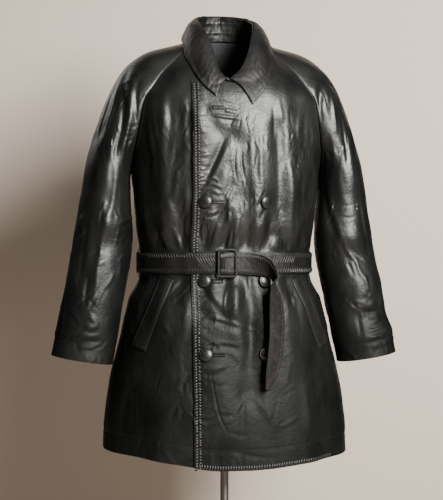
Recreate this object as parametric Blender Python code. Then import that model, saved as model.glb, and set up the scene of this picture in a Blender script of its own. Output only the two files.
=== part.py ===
"""Belted double-breasted leather coat, closed, on a neckless torso form with a pole and a round foot.

Metres, +Z up. The coat's front faces -Y, so +X is the wearer's left. The origin is on the floor under the
pole. An angle goes round the coat from the centre front (0) by the wearer's left side (90 degrees) to the back.
"""

import math

import bmesh
import bpy
import numpy as np
from mathutils import Vector
from mathutils.bvhtree import BVHTree

# Leather walls and the gaps between pieces
WALL = 0.0020
SEAM_GAP = 0.00040
OVERLAP_GAP = 0.0023
COLLAR_WALL = 0.0026
STAND_WALL = 0.0022
LINING_WALL = 0.0012
LINING_GAP = 0.0020
TRIM_GAP = 0.0005
STAND_INSET = 0.0020
STAND_LIFT = 0.0027
COLLAR_CLEARANCE = 0.0022

# Heights of the coat; the hem rises towards each side, and that rise fades out above it
HEM = 0.580
HEM_RISE = {-1: 0.024, 1: 0.012}
HEM_RISE_START = 0.15
HEM_RISE_REACH = 0.24
UNDERARM = 1.165
LEVEL_BELOW = 1.030
WAIST = 0.984

# Seams: how far a sleeve's edge moves off the body in gaps, how much of that is out of the body, and the
# greatest turn, as a cosine, that two walls share as one smooth seam
SEAM_PUSH = 1.2
SEAM_LEAN = 0.7
SMOOTH_SEAM = 0.5

# Fronts
LAP = 0.083
LAP_FADE = 0.034
LAP_SHOULDER = 0.014
NECK_HEIGHT = 1.341
LAP_TOP = 1.352
LAP_RISE = 0.008
LAP_TOP_FADE = 0.030

# Belt, buckle and loops
BELT_WIDTH = 0.043
BELT_WALL = 0.0032
BELT_GAP = 0.0012
BELT_END = 0.004
BRIDGE_START = 0.032
BRIDGE_REACH = 0.030
BUCKLE_X = -0.0155
BUCKLE_SIZE = (0.040, 0.058)
BUCKLE_BAR = 0.0052
BUCKLE_DEPTH = 0.0050
BUCKLE_OUT = 0.0082
BUCKLE_BEVEL = 0.0012
BUCKLE_CORNER = 1.0
LOOP_WIDTH = 0.010
LOOP_HEIGHT = 0.062
LOOP_WALL = 0.0018
LOOP_FOOT = 0.0008
LOOP_LENGTHS = (0.006, 0.010)
LOOP_CLEARANCE = 0.0012

# Buttons, buttonholes and pocket welts
BUTTON_RADIUS = 0.0130
BUTTON_HEIGHT = 0.0080
BUTTON_X = 0.058
BUTTON_HEIGHTS = {"upper": 1.105, "middle": 0.9480, "lower": 0.805}
BUTTON_RINGS = ((0.50, 0.0), (0.88, 0.0016), (1.0, 0.0034), (0.93, 0.0052), (0.72, 0.0069), (0.40, 0.0077))
COLLAR_BUTTONHOLE = 1.290
BUTTONHOLE_X = -0.0345
BUTTONHOLE_SIZE = (0.024, 0.0090)
BUTTONHOLE_SLOT = (0.018, 0.0016)
BUTTONHOLE_WALL = 0.0009
PROBE = 0.020
PATCH_REACH = 0.009
SEAT_STEP = 30
WELT_WIDTH = 0.028
WELT_WALL = 0.0026
WELT_TOP = (0.1315, 0.955)
WELT_BOTTOM = (0.1880, 0.813)

# Stand
POLE_RADIUS = 0.0090
BASE_RADIUS = 0.198
BASE_HEIGHT = 0.014
BASE_EDGE = 0.004
FORM_BOTTOM = 0.700

# The dark lining inside the back of the neck: its shares of the neckline, depths below it and half angle
LINING_SHARE = 0.9
LINING_DROP = (0.085, 0.002)
LINING_ANGLE = 46

# Steps of the curves and the sharpest edge that is still shaded smooth
NORMAL_STEP = 0.003
HALVINGS = 30
SHARP_ANGLE = 50

# Columns and rows of points across each piece
LAP_COLUMNS = 5
FRONT_COLUMNS = 12
BACK_COLUMNS = 24
SLEEVE_COLUMNS = 20
HEAD_ROWS = 9
COLLAR_COLUMNS = 32
COLLAR_ROWS = 5
BELT_COLUMNS = 80
LINING_COLUMNS = 12
LINING_ROWS = 4
WELT_COLUMNS = 2
WELT_ROWS = 10
BUTTON_SIDES = 16
TAIL_STEPS = 24
POLE_SIDES = 20
BASE_SIDES = 48
TUBE_PLACES = (0.0, 0.05, 0.11, 0.18, 0.26, 0.35, 0.44, 0.53, 0.61, 0.70, 0.80, 0.90, 1.0)
SIDE_HEIGHTS = (
    HEM, 0.612, 0.650, 0.690, 0.730, 0.770, 0.810, 0.850, 0.885, 0.915, 0.938, 0.956, 0.983, 1.010,
    1.030, 1.055, 1.085, 1.122, UNDERARM,
)


class Table:
    """Rows of named columns, each read as a smooth curve over the first one."""

    def __init__(self, columns, rows):
        self.columns = columns
        self.values = np.array(rows, float)

    def at(self, name, where):
        keys = self.values[:, 0]
        values = self.values[:, self.columns.index(name)]
        span = np.diff(keys)
        slope = np.diff(values) / span
        product = slope[:-1] * slope[1:]
        total = slope[:-1] + slope[1:]
        inner = np.where(product > 0, 2 * product / np.where(total == 0, 1, total), 0)
        tangent = np.concatenate([slope[:1], inner, slope[-1:]])
        where = np.clip(np.asarray(where, float), keys[0], keys[-1])
        row = np.clip(np.searchsorted(keys, where, side="right") - 1, 0, len(span) - 1)
        t = (where - keys[row]) / span[row]
        start = (1 + 2 * t) * (1 - t) ** 2 * values[row] + t * (1 - t) ** 2 * span[row] * tangent[row]
        end = t * t * (3 - 2 * t) * values[row + 1] - t * t * (1 - t) * span[row] * tangent[row + 1]
        return start + end


BODY = Table(
    ("height", "half_width", "front_depth", "back_depth", "squareness"),
    (
        (0.580, 0.256, 0.183, 0.172, 2.30),
        (0.655, 0.2525, 0.180, 0.168, 2.30),
        (0.740, 0.2415, 0.173, 0.162, 2.30),
        (0.825, 0.2205, 0.164, 0.153, 2.30),
        (0.905, 0.201, 0.153, 0.142, 2.35),
        (0.956, 0.178, 0.138, 0.121, 2.40),
        (1.010, 0.178, 0.138, 0.121, 2.40),
        (1.060, 0.184, 0.148, 0.131, 2.45),
        (1.165, 0.195, 0.158, 0.142, 2.50),
        (1.250, 0.204, 0.158, 0.146, 2.50),
        (1.310, 0.206, 0.150, 0.142, 2.50),
        (1.360, 0.180, 0.130, 0.128, 2.40),
        (1.400, 0.135, 0.103, 0.108, 2.30),
        (1.430, 0.100, 0.080, 0.096, 2.20),
        (1.465, 0.080, 0.060, 0.082, 2.10),
    ),
)

# The raglan seams and the sleeve head's crest, from the underarm (place 1) to the neckline (place 2)
ARMHOLE = Table(
    (
        "place", "front_angle", "front_height", "back_angle", "back_height",
        "crest_x", "crest_z", "half_depth", "spread",
    ),
    (
        (1.00, 90.0, 1.165, 90.0, 1.165, 0.291, 1.190, 0.0880, 180),
        (1.15, 77.0, 1.195, 104.0, 1.200, 0.282, 1.222, 0.0885, 146),
        (1.30, 68.5, 1.232, 112.0, 1.240, 0.271, 1.258, 0.0895, 122),
        (1.45, 64.0, 1.272, 116.0, 1.282, 0.256, 1.302, 0.0930, 106),
        (1.60, 61.0, 1.315, 119.0, 1.326, 0.234, 1.352, 0.0950, 92),
        (1.72, 58.5, 1.343, 121.0, 1.362, 0.206, 1.392, 0.0910, 78),
        (1.84, 57.5, 1.382, 123.5, 1.405, 0.161, 1.422, 0.0800, 68),
        (1.93, 57.0, 1.415, 125.0, 1.437, 0.110, 1.437, 0.0650, 61),
        (2.00, 52.0, 1.433, 133.0, 1.453, 0.074, 1.447, 0.0620, 56),
    ),
)

# The sleeve's tube, from the cuff (place 0) to the underarm (place 1)
SLEEVE = Table(
    ("place", "outer_x", "outer_z", "inner_x", "inner_z", "half_depth", "middle_y"),
    (
        (0.00, 0.3610, 0.797, 0.2360, 0.776, 0.056, -0.030),
        (0.14, 0.3510, 0.850, 0.2260, 0.830, 0.059, -0.024),
        (0.32, 0.3360, 0.920, 0.2140, 0.902, 0.064, -0.014),
        (0.50, 0.3230, 0.990, 0.2010, 0.972, 0.070, -0.006),
        (0.68, 0.3120, 1.060, 0.1935, 1.045, 0.076, -0.002),
        (0.86, 0.3005, 1.130, 0.1975, 1.112, 0.083, 0.000),
        (1.00, 0.2910, 1.190, 0.1985, 1.168, 0.088, 0.000),
    ),
)

# Neckline heights over the share of the way from the centre to the raglan seam
NECK_FRONT = Table(
    ("share", "height"),
    ((0.0, NECK_HEIGHT), (0.3, 1.356), (0.55, 1.383), (0.8, 1.412), (1.0, 1.433)),
)
NECK_BACK = Table(("share", "height"), ((0.0, 1.462), (0.5, 1.460), (1.0, 1.453)))

# The collar's fold line and outer edge on one side, from the front end (0) to the centre back (1)
COLLAR = Table(
    ("along", "fold_x", "fold_y", "fold_z", "edge_x", "edge_y", "edge_z", "roll"),
    (
        (0.00, 0.0020, -0.1435, 1.361, 0.036, -0.152, 1.304, 0.004),
        (0.14, 0.0200, -0.133, 1.377, 0.060, -0.145, 1.330, 0.007),
        (0.32, 0.0380, -0.104, 1.420, 0.081, -0.115, 1.370, 0.008),
        (0.50, 0.0520, -0.062, 1.463, 0.092, -0.068, 1.412, 0.007),
        (0.64, 0.0600, -0.015, 1.488, 0.0925, -0.018, 1.444, 0.006),
        (0.78, 0.0570, 0.032, 1.503, 0.086, 0.046, 1.453, 0.006),
        (0.90, 0.0340, 0.064, 1.514, 0.055, 0.090, 1.450, 0.006),
        (1.00, 0.0000, 0.076, 1.5175, 0.000, 0.104, 1.448, 0.006),
    ),
)

# How far the front corners of the collar's edge and fold line lie from the mirrored table, outwards and up,
# on the wearer's right (-1) and left (1), and how far along the collar that reaches
COLLAR_SHIFTS = {
    "edge": ({-1: (0.002, 0.008), 1: (-0.003, -0.008)}, 0.22),
    "fold": ({-1: (0.0125, -0.011), 1: (-0.0115, -0.011)}, 0.40),
}
# The collar's bulge between fold and edge: shares of the way across and down, and a lift
COLLAR_BULGE = np.array([0.45, 0.45, 0.12])
COLLAR_LIFT = np.array([0, 0, 0.002])
NECK_AXIS = np.array([0, -0.02, 0])
NECK_OUT = np.array([1, 1, 0])
MIDDLE_GAP = 0.0015
HALF = 0.5
# How a point of the collar is held off the coat: passes, farthest distance, and the steepness of the way out
HOLD_PASSES = 3
HOLD_REACH = 0.030
HOLD_STEEPNESS = 0.12

# The belt's free end: the middle of the strap, its distance out from the coat and its turn about its length
TAIL = Table(
    ("row", "x", "z", "out", "turn", "width"),
    (
        (0, -0.0290, 0.983, 0.0063, 0, 0.043),
        (1, -0.0225, 0.983, 0.0086, 0, 0.043),
        (2, -0.0155, 0.983, 0.0094, 0, 0.043),
        (3, -0.0075, 0.983, 0.0084, 0, 0.043),
        (4, 0.0020, 0.983, 0.0063, 0, 0.043),
        (5, 0.0150, 0.983, 0.0066, 0, 0.043),
        (6, 0.0300, 0.982, 0.0090, 4, 0.043),
        (7, 0.0440, 0.980, 0.0145, 18, 0.042),
        (8, 0.0560, 0.974, 0.0225, 44, 0.040),
        (9, 0.0665, 0.960, 0.0305, 80, 0.037),
        (10, 0.0730, 0.940, 0.0300, 112, 0.038),
        (11, 0.0765, 0.915, 0.0240, 132, 0.041),
        (12, 0.0775, 0.885, 0.0175, 142, 0.043),
        (13, 0.0760, 0.848, 0.0165, 146, 0.042),
        (14, 0.0720, 0.810, 0.0165, 147, 0.040),
        (15, 0.0660, 0.773, 0.0170, 147, 0.034),
        (16, 0.0570, 0.738, 0.0175, 147, 0.010),
    ),
)
TAIL_WALL = 0.0030
BELT_FOOT = 0.950

# Largest folds of the front and back: a line from top to bottom, its half breadth, and its height
FOLD_COLUMNS = ("top_x", "top_z", "bottom_x", "bottom_z", "breadth", "height")
FRONT_FOLDS = (
    (-0.018, 1.235, -0.068, 1.125, 0.020, -0.0045),
    (0.020, 1.215, 0.012, 1.120, 0.022, -0.0035),
    (0.086, 1.250, 0.088, 1.045, 0.022, -0.0065),
    (0.116, 1.160, 0.114, 1.040, 0.020, 0.0055),
    (0.045, 1.200, 0.040, 1.060, 0.026, 0.0040),
    (-0.145, 1.290, -0.138, 1.050, 0.020, 0.0050),
    (-0.112, 1.270, -0.108, 1.045, 0.020, -0.0045),
    (0.034, 0.905, 0.030, 0.735, 0.026, -0.0065),
    (-0.005, 0.930, 0.000, 0.860, 0.026, 0.0045),
    (-0.060, 0.885, 0.020, 0.860, 0.018, -0.0035),
    (-0.050, 0.800, -0.020, 0.650, 0.026, 0.0040),
    (0.120, 0.880, 0.140, 0.600, 0.030, 0.0060),
    (0.185, 0.780, 0.200, 0.600, 0.028, -0.0050),
    (-0.125, 0.880, -0.145, 0.600, 0.030, 0.0055),
    (-0.190, 0.770, -0.205, 0.600, 0.028, -0.0045),
)
BACK_FOLDS = (
    (0.060, 1.230, 0.050, 1.050, 0.026, 0.0050),
    (-0.075, 1.250, -0.062, 1.050, 0.026, 0.0055),
    (-0.010, 1.200, -0.004, 1.045, 0.026, -0.0045),
    (0.128, 1.200, 0.120, 1.050, 0.022, -0.0055),
    (-0.132, 1.180, -0.126, 1.050, 0.022, -0.0050),
    (0.070, 0.900, 0.090, 0.600, 0.032, 0.0065),
    (-0.060, 0.890, -0.085, 0.600, 0.032, 0.0060),
    (0.005, 0.900, 0.000, 0.620, 0.030, -0.0060),
    (0.150, 0.850, 0.180, 0.600, 0.030, -0.0055),
    (-0.150, 0.860, -0.175, 0.600, 0.030, -0.0050),
)

# Folds of the sleeves: side (-1 wearer's right, 1 left, 0 both), place, angle round the sleeve from its outer
# crest by the front, reach along and round it, and height out of it
SLEEVE_FOLD_COLUMNS = ("side", "place", "angle", "reach_along", "reach_round", "height")
SLEEVE_FOLDS = (
    (-1, 0.60, 105, 0.060, 55, -0.0070),
    (-1, 0.70, 95, 0.045, 50, 0.0055),
    (-1, 0.30, 40, 0.160, 26, 0.0045),
    (-1, 0.08, 85, 0.045, 50, -0.0045),
    (1, 0.54, 95, 0.055, 55, -0.0070),
    (1, 0.64, 85, 0.045, 50, 0.0050),
    (1, 0.22, 70, 0.045, 55, -0.0060),
    (1, 0.12, 60, 0.040, 55, 0.0050),
    (1, 0.38, 50, 0.060, 45, 0.0040),
    (0, 0.55, 250, 0.080, 50, 0.0045),
    (0, 0.35, 300, 0.120, 35, -0.0040),
    (0, 0.85, 95, 0.080, 40, -0.0040),
)

# Where the sleeves' folds end, and where the sleeve's tube has become its head
SLEEVE_FOLD_END = (0.95, 0.25)
HEAD_BLEND = (1.15, 0.30)
CLOSED_CHORD = 0.004

# Half the stretch, as a cosine, over which the front's folds pass into the back's
SIDE_BLEND = 0.15

# Gathers that the belt draws in, above and below it
GATHERS = 22
GATHER_HEIGHT = 0.0024
GATHER_REACH = 0.026
BELT_PRESS = 0.030
BELT_MARGIN = 0.006

# Torso form
FORM = Table(
    ("height", "half_width", "front_depth", "back_depth"),
    (
        (0.700, 0.135, 0.095, 0.095),
        (0.780, 0.150, 0.108, 0.112),
        (0.870, 0.158, 0.112, 0.115),
        (0.970, 0.143, 0.104, 0.096),
        (1.060, 0.152, 0.116, 0.106),
        (1.180, 0.176, 0.130, 0.118),
        (1.260, 0.186, 0.124, 0.120),
        (1.310, 0.192, 0.108, 0.112),
    ),
)
FORM_HEIGHTS = (0.700, 0.708, 0.780, 0.870, 0.970, 1.060, 1.120, 1.180, 1.230, 1.275, 1.310)
FORM_SQUARENESS = 2.3
FORM_FOOT_SHARE = 0.94
FORM_SIDES = 28
FORM_TOP_SHARES = (0.90, 0.78, 0.64, 0.50, 0.36, 0.20)
# The form's ridge from shoulder to shoulder, low in the middle, where its neck is left out
FORM_RIDGE = Table(
    ("x", "height"),
    (
        (0.0, 1.352), (0.045, 1.362), (0.078, 1.405), (0.096, 1.438), (0.123, 1.4560), (0.150, 1.462),
        (0.173, 1.484), (0.192, 1.484),
    ),
)
FORM_TOP_POWER = 4.0

COLOURS = {
    "leather": ((0.018, 0.018, 0.019), 0.38, 0.0),
    "suede": ((0.045, 0.036, 0.031), 0.90, 0.0),
    "lining": ((0.010, 0.010, 0.011), 0.75, 0.0),
    "button": ((0.012, 0.012, 0.013), 0.22, 0.0),
    "form": ((0.030, 0.029, 0.028), 0.90, 0.0),
    "steel": ((0.55, 0.53, 0.50), 0.30, 1.0),
    "painted": ((0.050, 0.050, 0.052), 0.45, 0.0),
}


def clear_scene():
    for obj in list(bpy.data.objects):
        bpy.data.objects.remove(obj, do_unlink=True)


def material_of(name):
    found = bpy.data.materials.get(name)
    if found:
        return found
    made = bpy.data.materials.new(name)
    made.use_nodes = True
    shader = made.node_tree.nodes["Principled BSDF"]
    colour, roughness, metallic = COLOURS[name]
    shader.inputs["Base Color"].default_value = (*colour, 1.0)
    shader.inputs["Roughness"].default_value = roughness
    shader.inputs["Metallic"].default_value = metallic
    return made


def soft_step(t):
    t = np.clip(t, 0.0, 1.0)
    return t * t * (3 - 2 * t)


def unit(vectors):
    return vectors / np.maximum(np.linalg.norm(vectors, axis=-1, keepdims=True), 1e-12)


def fold_line(x, z, row):
    """A rounded ridge or trough along one line, which fades past its ends."""
    fold = dict(zip(FOLD_COLUMNS, row))
    run = np.array([fold["bottom_x"] - fold["top_x"], fold["bottom_z"] - fold["top_z"]])
    share = ((x - fold["top_x"]) * run[0] + (z - fold["top_z"]) * run[1]) / (run @ run)
    share = np.clip(share, 0, 1)
    away = np.hypot(x - fold["top_x"] - share * run[0], z - fold["top_z"] - share * run[1])
    return fold["height"] * np.exp(-((away / fold["breadth"]) ** 2))


def superellipse(angle, half_width, depth, power):
    total = np.abs(np.sin(angle) / half_width) ** power + np.abs(np.cos(angle) / depth) ** power
    return total ** (-1 / power)


def plain_radius(angle, height):
    depth = np.where(np.cos(angle) > 0, BODY.at("front_depth", height), BODY.at("back_depth", height))
    return superellipse(angle, BODY.at("half_width", height), depth, BODY.at("squareness", height))


def relief(angle, height):
    """Folds and gathers, out from the plain form; the belt presses them flat."""
    plain = plain_radius(angle, height)
    x = plain * np.sin(angle)
    front = sum(fold_line(x, height, row) for row in FRONT_FOLDS)
    back = sum(fold_line(x, height, row) for row in BACK_FOLDS)
    blend = soft_step((np.cos(angle) + SIDE_BLEND) / (2 * SIDE_BLEND))
    away = np.maximum(np.abs(height - WAIST) - BELT_WIDTH / 2, 0) / GATHER_REACH
    gather = GATHER_HEIGHT * np.cos(GATHERS * angle) * away * np.exp(1 - away)
    pressed = soft_step((np.abs(height - WAIST) - BELT_WIDTH / 2 - BELT_MARGIN) / BELT_PRESS)
    return pressed * (front * blend + back * (1 - blend)) + gather


def lap_lift(x, height):
    """How far the wearer's left front stands out of the right one, which it covers."""
    across = 1 - soft_step((x - LAP - LAP_SHOULDER) / LAP_FADE)
    return (WALL + OVERLAP_GAP) * across * (1 - soft_step((height - LAP_TOP) / LAP_TOP_FADE))


def body_point(angle, height, lapped=False):
    angle, height = np.broadcast_arrays(np.asarray(angle, float), np.asarray(height, float))
    radius = plain_radius(angle, height)
    lift = lap_lift(radius * np.sin(angle), height) if lapped else 0.0
    radius = radius + relief(angle, height) + lift
    return np.stack([radius * np.sin(angle), -radius * np.cos(angle), height], axis=-1)


def body_normal(angle, height, lapped=False):
    step = NORMAL_STEP
    across = body_point(angle + step, height, lapped) - body_point(angle - step, height, lapped)
    up = body_point(angle, height + step, lapped) - body_point(angle, height - step, lapped)
    return unit(np.cross(across, up))


def angle_at(x, height):
    """The angle on the front at which the plain form is x from the middle."""
    height = np.asarray(height, float)
    x = np.broadcast_to(np.asarray(x, float), height.shape)
    low = np.zeros_like(height)
    high = np.full_like(height, math.pi / 2)
    for _ in range(HALVINGS):
        middle = (low + high) / 2
        short = plain_radius(middle, height) * np.sin(middle) < np.abs(x)
        low = np.where(short, middle, low)
        high = np.where(short, high, middle)
    return np.sign(x) * (low + high) / 2


def level(side_height, side_top, top):
    """The height of a row at a column whose top is another than the side's: level below the waist."""
    rise = np.maximum(side_height - LEVEL_BELOW, 0) * (top - LEVEL_BELOW) / (side_top - LEVEL_BELOW)
    return np.minimum(side_height, LEVEL_BELOW) + rise


def hem_rise(angle, height):
    """How far a row of a front or the back lies above its level; the sides of the hem are highest."""
    side = np.where(np.sin(angle) < 0, HEM_RISE[-1], HEM_RISE[1])
    near = soft_step((np.abs(np.sin(angle)) - HEM_RISE_START) / (1 - HEM_RISE_START))
    return side * near * (1 - soft_step((height - HEM) / HEM_RISE_REACH))


def head_places():
    return 1 + np.arange(1, HEAD_ROWS + 1) / HEAD_ROWS


def side_rows(which):
    """The height and the angle of the side seam, then of the raglan seam, at each row."""
    places = head_places()
    heights = np.concatenate([SIDE_HEIGHTS, ARMHOLE.at(which + "_height", places)])
    angles = np.concatenate([np.full(len(SIDE_HEIGHTS), 90.0), ARMHOLE.at(which + "_angle", places)])
    return heights, np.radians(angles)


def front_places(side):
    """Angles and heights of a front's points; the underlap or overlap past the centre comes first."""
    heights, seams = side_rows("front")
    past = LAP * (1 - np.arange(LAP_COLUMNS) / LAP_COLUMNS)
    shares = np.arange(FRONT_COLUMNS + 1) / FRONT_COLUMNS
    past_top = NECK_HEIGHT + LAP_RISE * past[None, :] / LAP
    past_height = level(heights[:, None], heights[-1], past_top)
    own_height = level(heights[:, None], heights[-1], NECK_FRONT.at("height", shares)[None, :])
    past_angle = -angle_at(past[None, :] + 0 * past_height, past_height)
    own_angle = shares[None, :] * seams[:, None]
    own_angle[: len(SIDE_HEIGHTS), -1] -= SEAM_GAP / 2 / BODY.at("half_width", np.array(SIDE_HEIGHTS))
    angle = side * np.concatenate([past_angle, own_angle], axis=1)
    height = np.concatenate([past_height, own_height], axis=1)
    return angle, height + hem_rise(angle, height)


def back_places():
    heights, seams = side_rows("back")
    shares = np.linspace(1, -1, BACK_COLUMNS + 1)
    height = level(heights[:, None], heights[-1], NECK_BACK.at("height", np.abs(shares))[None, :])
    angle = math.pi - shares[None, :] * (math.pi - seams[:, None])
    inset = SEAM_GAP / 2 / BODY.at("half_width", np.array(SIDE_HEIGHTS))
    angle[: len(SIDE_HEIGHTS), 0] += inset
    angle[: len(SIDE_HEIGHTS), -1] -= inset
    return angle, height + hem_rise(angle, height)


def sleeve_relief(side, place, turn):
    total = np.zeros(np.broadcast(place, turn).shape)
    for row in SLEEVE_FOLDS:
        fold = dict(zip(SLEEVE_FOLD_COLUMNS, row))
        if fold["side"] not in (0, side):
            continue
        round_by = (np.degrees(turn) - fold["angle"] + 180) % 360 - 180
        along = (place - fold["place"]) / fold["reach_along"]
        total = total + fold["height"] * np.exp(-(along**2) - (round_by / fold["reach_round"]) ** 2)
    return total * (1 - soft_step((place - SLEEVE_FOLD_END[0]) / SLEEVE_FOLD_END[1]))


def sleeve_point(side, share, place):
    """A point of the wearer's left sleeve; share runs from its back seam (-1) over its crest to its front (1)."""
    share, place = np.broadcast_arrays(np.asarray(share, float), np.asarray(place, float))
    tube = place <= 1
    low, high = np.minimum(place, 1), np.maximum(place, 1)
    middle_y = SLEEVE.at("middle_y", low)
    outer = np.stack([SLEEVE.at("outer_x", low), middle_y, SLEEVE.at("outer_z", low)], axis=-1)
    inner = np.stack([SLEEVE.at("inner_x", low), middle_y, SLEEVE.at("inner_z", low)], axis=-1)
    front = body_point(np.radians(ARMHOLE.at("front_angle", high)), ARMHOLE.at("front_height", high))
    back = body_point(np.radians(ARMHOLE.at("back_angle", high)), ARMHOLE.at("back_height", high))
    middle = (front + back) / 2
    crest = np.stack([ARMHOLE.at("crest_x", high), middle[..., 1], ARMHOLE.at("crest_z", high)], axis=-1)
    half_depth = np.where(tube, SLEEVE.at("half_depth", low), ARMHOLE.at("half_depth", high))
    half_chord = np.linalg.norm(front - back, axis=-1) / 2
    closing = math.pi - np.arcsin(np.minimum(half_chord / half_depth, 1))
    blend = soft_step((high - HEAD_BLEND[0]) / HEAD_BLEND[1])
    spread = (1 - blend) * closing + blend * np.radians(ARMHOLE.at("spread", high))
    spread = np.where(tube, math.pi, spread)
    crest = np.where(tube[..., None], outer, crest)
    middle = np.where(tube[..., None], inner, middle)
    rise = (crest - middle) / (1 - np.cos(spread))[..., None]
    centre = crest - rise
    closed = half_chord < CLOSED_CHORD
    safe_sine = np.where(closed | tube, 1, np.sin(spread))[..., None]
    straight = np.stack([0 * half_depth, -half_depth, 0 * half_depth], axis=-1)
    forward = np.where((closed | tube)[..., None], straight, (front - back) / 2 / safe_sine)
    turn = share * spread
    arm = rise * np.cos(turn)[..., None] + forward * np.sin(turn)[..., None]
    bump = sleeve_relief(side, place, turn)
    return centre + arm + unit(arm) * bump[..., None]


def grid_normals(points, wrapped_rows=0):
    """Outward normals of a grid of points whose rows run up and whose columns run round to the left."""
    across = np.gradient(points, axis=1)
    for row in range(wrapped_rows):
        across[row, 0] = across[row, -1] = (points[row, 1] - points[row, -2]) / 2
    up = np.gradient(points, axis=0)
    return unit(np.cross(across, up))


def grid_faces(rows, columns, wrapped_rows=0, leave_out=()):
    index = np.arange(rows * columns).reshape(rows, columns)
    index[:wrapped_rows, -1] = index[:wrapped_rows, 0]
    faces = []
    for row in range(rows - 1):
        for column in range(columns - 1):
            if (row, column) in leave_out:
                continue
            low, high = index[row], index[row + 1]
            corners = (low[column], low[column + 1], high[column + 1], high[column])
            faces.append([int(i) for i in corners])
    return faces


def add_mesh(name, points, faces, material):
    mesh = bpy.data.meshes.new(name)
    mesh.from_pydata([tuple(p) for p in points], [], faces)
    model = bmesh.new()
    model.from_mesh(mesh)
    loose = [v for v in model.verts if not v.link_faces]
    bmesh.ops.delete(model, geom=loose, context="VERTS")
    bmesh.ops.recalc_face_normals(model, faces=model.faces)
    model.to_mesh(mesh)
    model.free()
    mesh.shade_smooth()
    mesh.set_sharp_from_angle(angle=math.radians(SHARP_ANGLE))
    mesh.materials.append(material_of(material))
    obj = bpy.data.objects.new(name, mesh)
    bpy.context.scene.collection.objects.link(obj)
    return obj


def add_wall(name, outer, inner, faces, material):
    """A closed wall: the outer faces, the same faces on the inner points, and a strip along each free edge."""
    count = len(outer)
    both = list(faces) + [[i + count for i in reversed(face)] for face in faces]
    edges = {}
    for face in faces:
        for a, b in zip(face, face[1:] + face[:1]):
            if a != b:
                edges[(a, b)] = edges.get((a, b), 0) + 1
    for a, b in edges:
        if (b, a) not in edges:
            both.append([b, a, a + count, b + count])
    return add_mesh(name, np.concatenate([outer, inner]), both, material)


def add_grid_wall(name, outer, inner, material, wrapped_rows=0, leave_out=()):
    rows, columns = outer.shape[:2]
    faces = grid_faces(rows, columns, wrapped_rows, leave_out)
    return add_wall(name, outer.reshape(-1, 3), inner.reshape(-1, 3), faces, material)


def mirrored(points, side):
    return points * np.array([side, 1.0, 1.0])


def sleeve_grid(side):
    """Outer points and outward normals of a sleeve as the wearer's left one; its seam edges keep the gap."""
    places = np.concatenate([TUBE_PLACES, head_places()])
    shares = np.linspace(-1, 1, SLEEVE_COLUMNS + 1)
    points = sleeve_point(side, shares[None, :], places[:, None])
    normals = -grid_normals(points, wrapped_rows=len(TUBE_PLACES))
    return points, normals, len(TUBE_PLACES)


def seam_edges(points, normals, first, side):
    """Moves a sleeve's seam edges off the body, and gives each seam row the normal that both walls share."""
    places = head_places()
    shared = {}
    for which, column, inward in (("front", -1, -2), ("back", 0, 1)):
        angle = np.radians(ARMHOLE.at(which + "_angle", places))
        height = ARMHOLE.at(which + "_height", places)
        body = mirrored(body_normal(side * angle, height), side)
        own = normals[first:, column]
        along = unit(points[first:, inward] - points[first:, column])
        points[first:, column] += SEAM_GAP * SEAM_PUSH * unit(along + SEAM_LEAN * body)
        smooth = np.sum(body * own, axis=1) > SMOOTH_SEAM
        both = unit(body + own)
        shared[which] = np.where(smooth[:, None], both, body)
        normals[first:, column] = np.where(smooth[:, None], both, own)
    return shared


def build_sleeves():
    seams = {}
    outers = []
    for side, name in ((1, "sleeve_left"), (-1, "sleeve_right")):
        points, normals, first = sleeve_grid(side)
        seams[side] = seam_edges(points, normals, first, side)
        outer = mirrored(points, side)
        inner = mirrored(points - WALL * normals, side)
        add_grid_wall(name, outer, inner, "leather", wrapped_rows=first)
        outers.append(outer)
    return seams, outers


def build_fronts(seams):
    outers = []
    rows_below = len(SIDE_HEIGHTS)
    for side, name in ((1, "front_left"), (-1, "front_right")):
        angle, height = front_places(side)
        lapped = side == 1
        outer = body_point(angle, height, lapped)
        normals = body_normal(angle, height, lapped)
        normals[rows_below:, -1] = mirrored(seams[side]["front"], side)
        add_grid_wall(name, outer, outer - WALL * normals, "leather")
        outers.append(outer)
    return outers


def build_back(seams):
    angle, height = back_places()
    outer = body_point(angle, height)
    normals = body_normal(angle, height)
    rows_below = len(SIDE_HEIGHTS)
    normals[rows_below:, 0] = seams[1]["back"]
    normals[rows_below:, -1] = mirrored(seams[-1]["back"], -1)
    add_grid_wall("back", outer, outer - WALL * normals, "leather")
    return outer


def build_lining():
    """The dark lining that shows inside the back of the neck."""
    shares = np.linspace(LINING_SHARE, -LINING_SHARE, LINING_COLUMNS + 1)
    drop = np.linspace(*LINING_DROP, LINING_ROWS + 1)
    height = NECK_BACK.at("height", np.abs(shares))[None, :] - drop[:, None]
    angle = math.pi - shares[None, :] * math.radians(LINING_ANGLE) + 0 * height
    away = WALL + LINING_GAP
    outer = body_point(angle, height) - away * body_normal(angle, height)
    inner = body_point(angle, height) - (away + LINING_WALL) * body_normal(angle, height)
    add_grid_wall("lining_yoke", outer, inner, "lining")


def resample(points, shares):
    """Points at shares of the length of a chain of points."""
    steps = np.linalg.norm(np.diff(points, axis=0), axis=1)
    length = np.concatenate([[0], np.cumsum(steps)]) / steps.sum()
    return np.stack([np.interp(shares, length, points[:, axis]) for axis in range(3)], axis=1)


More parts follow.
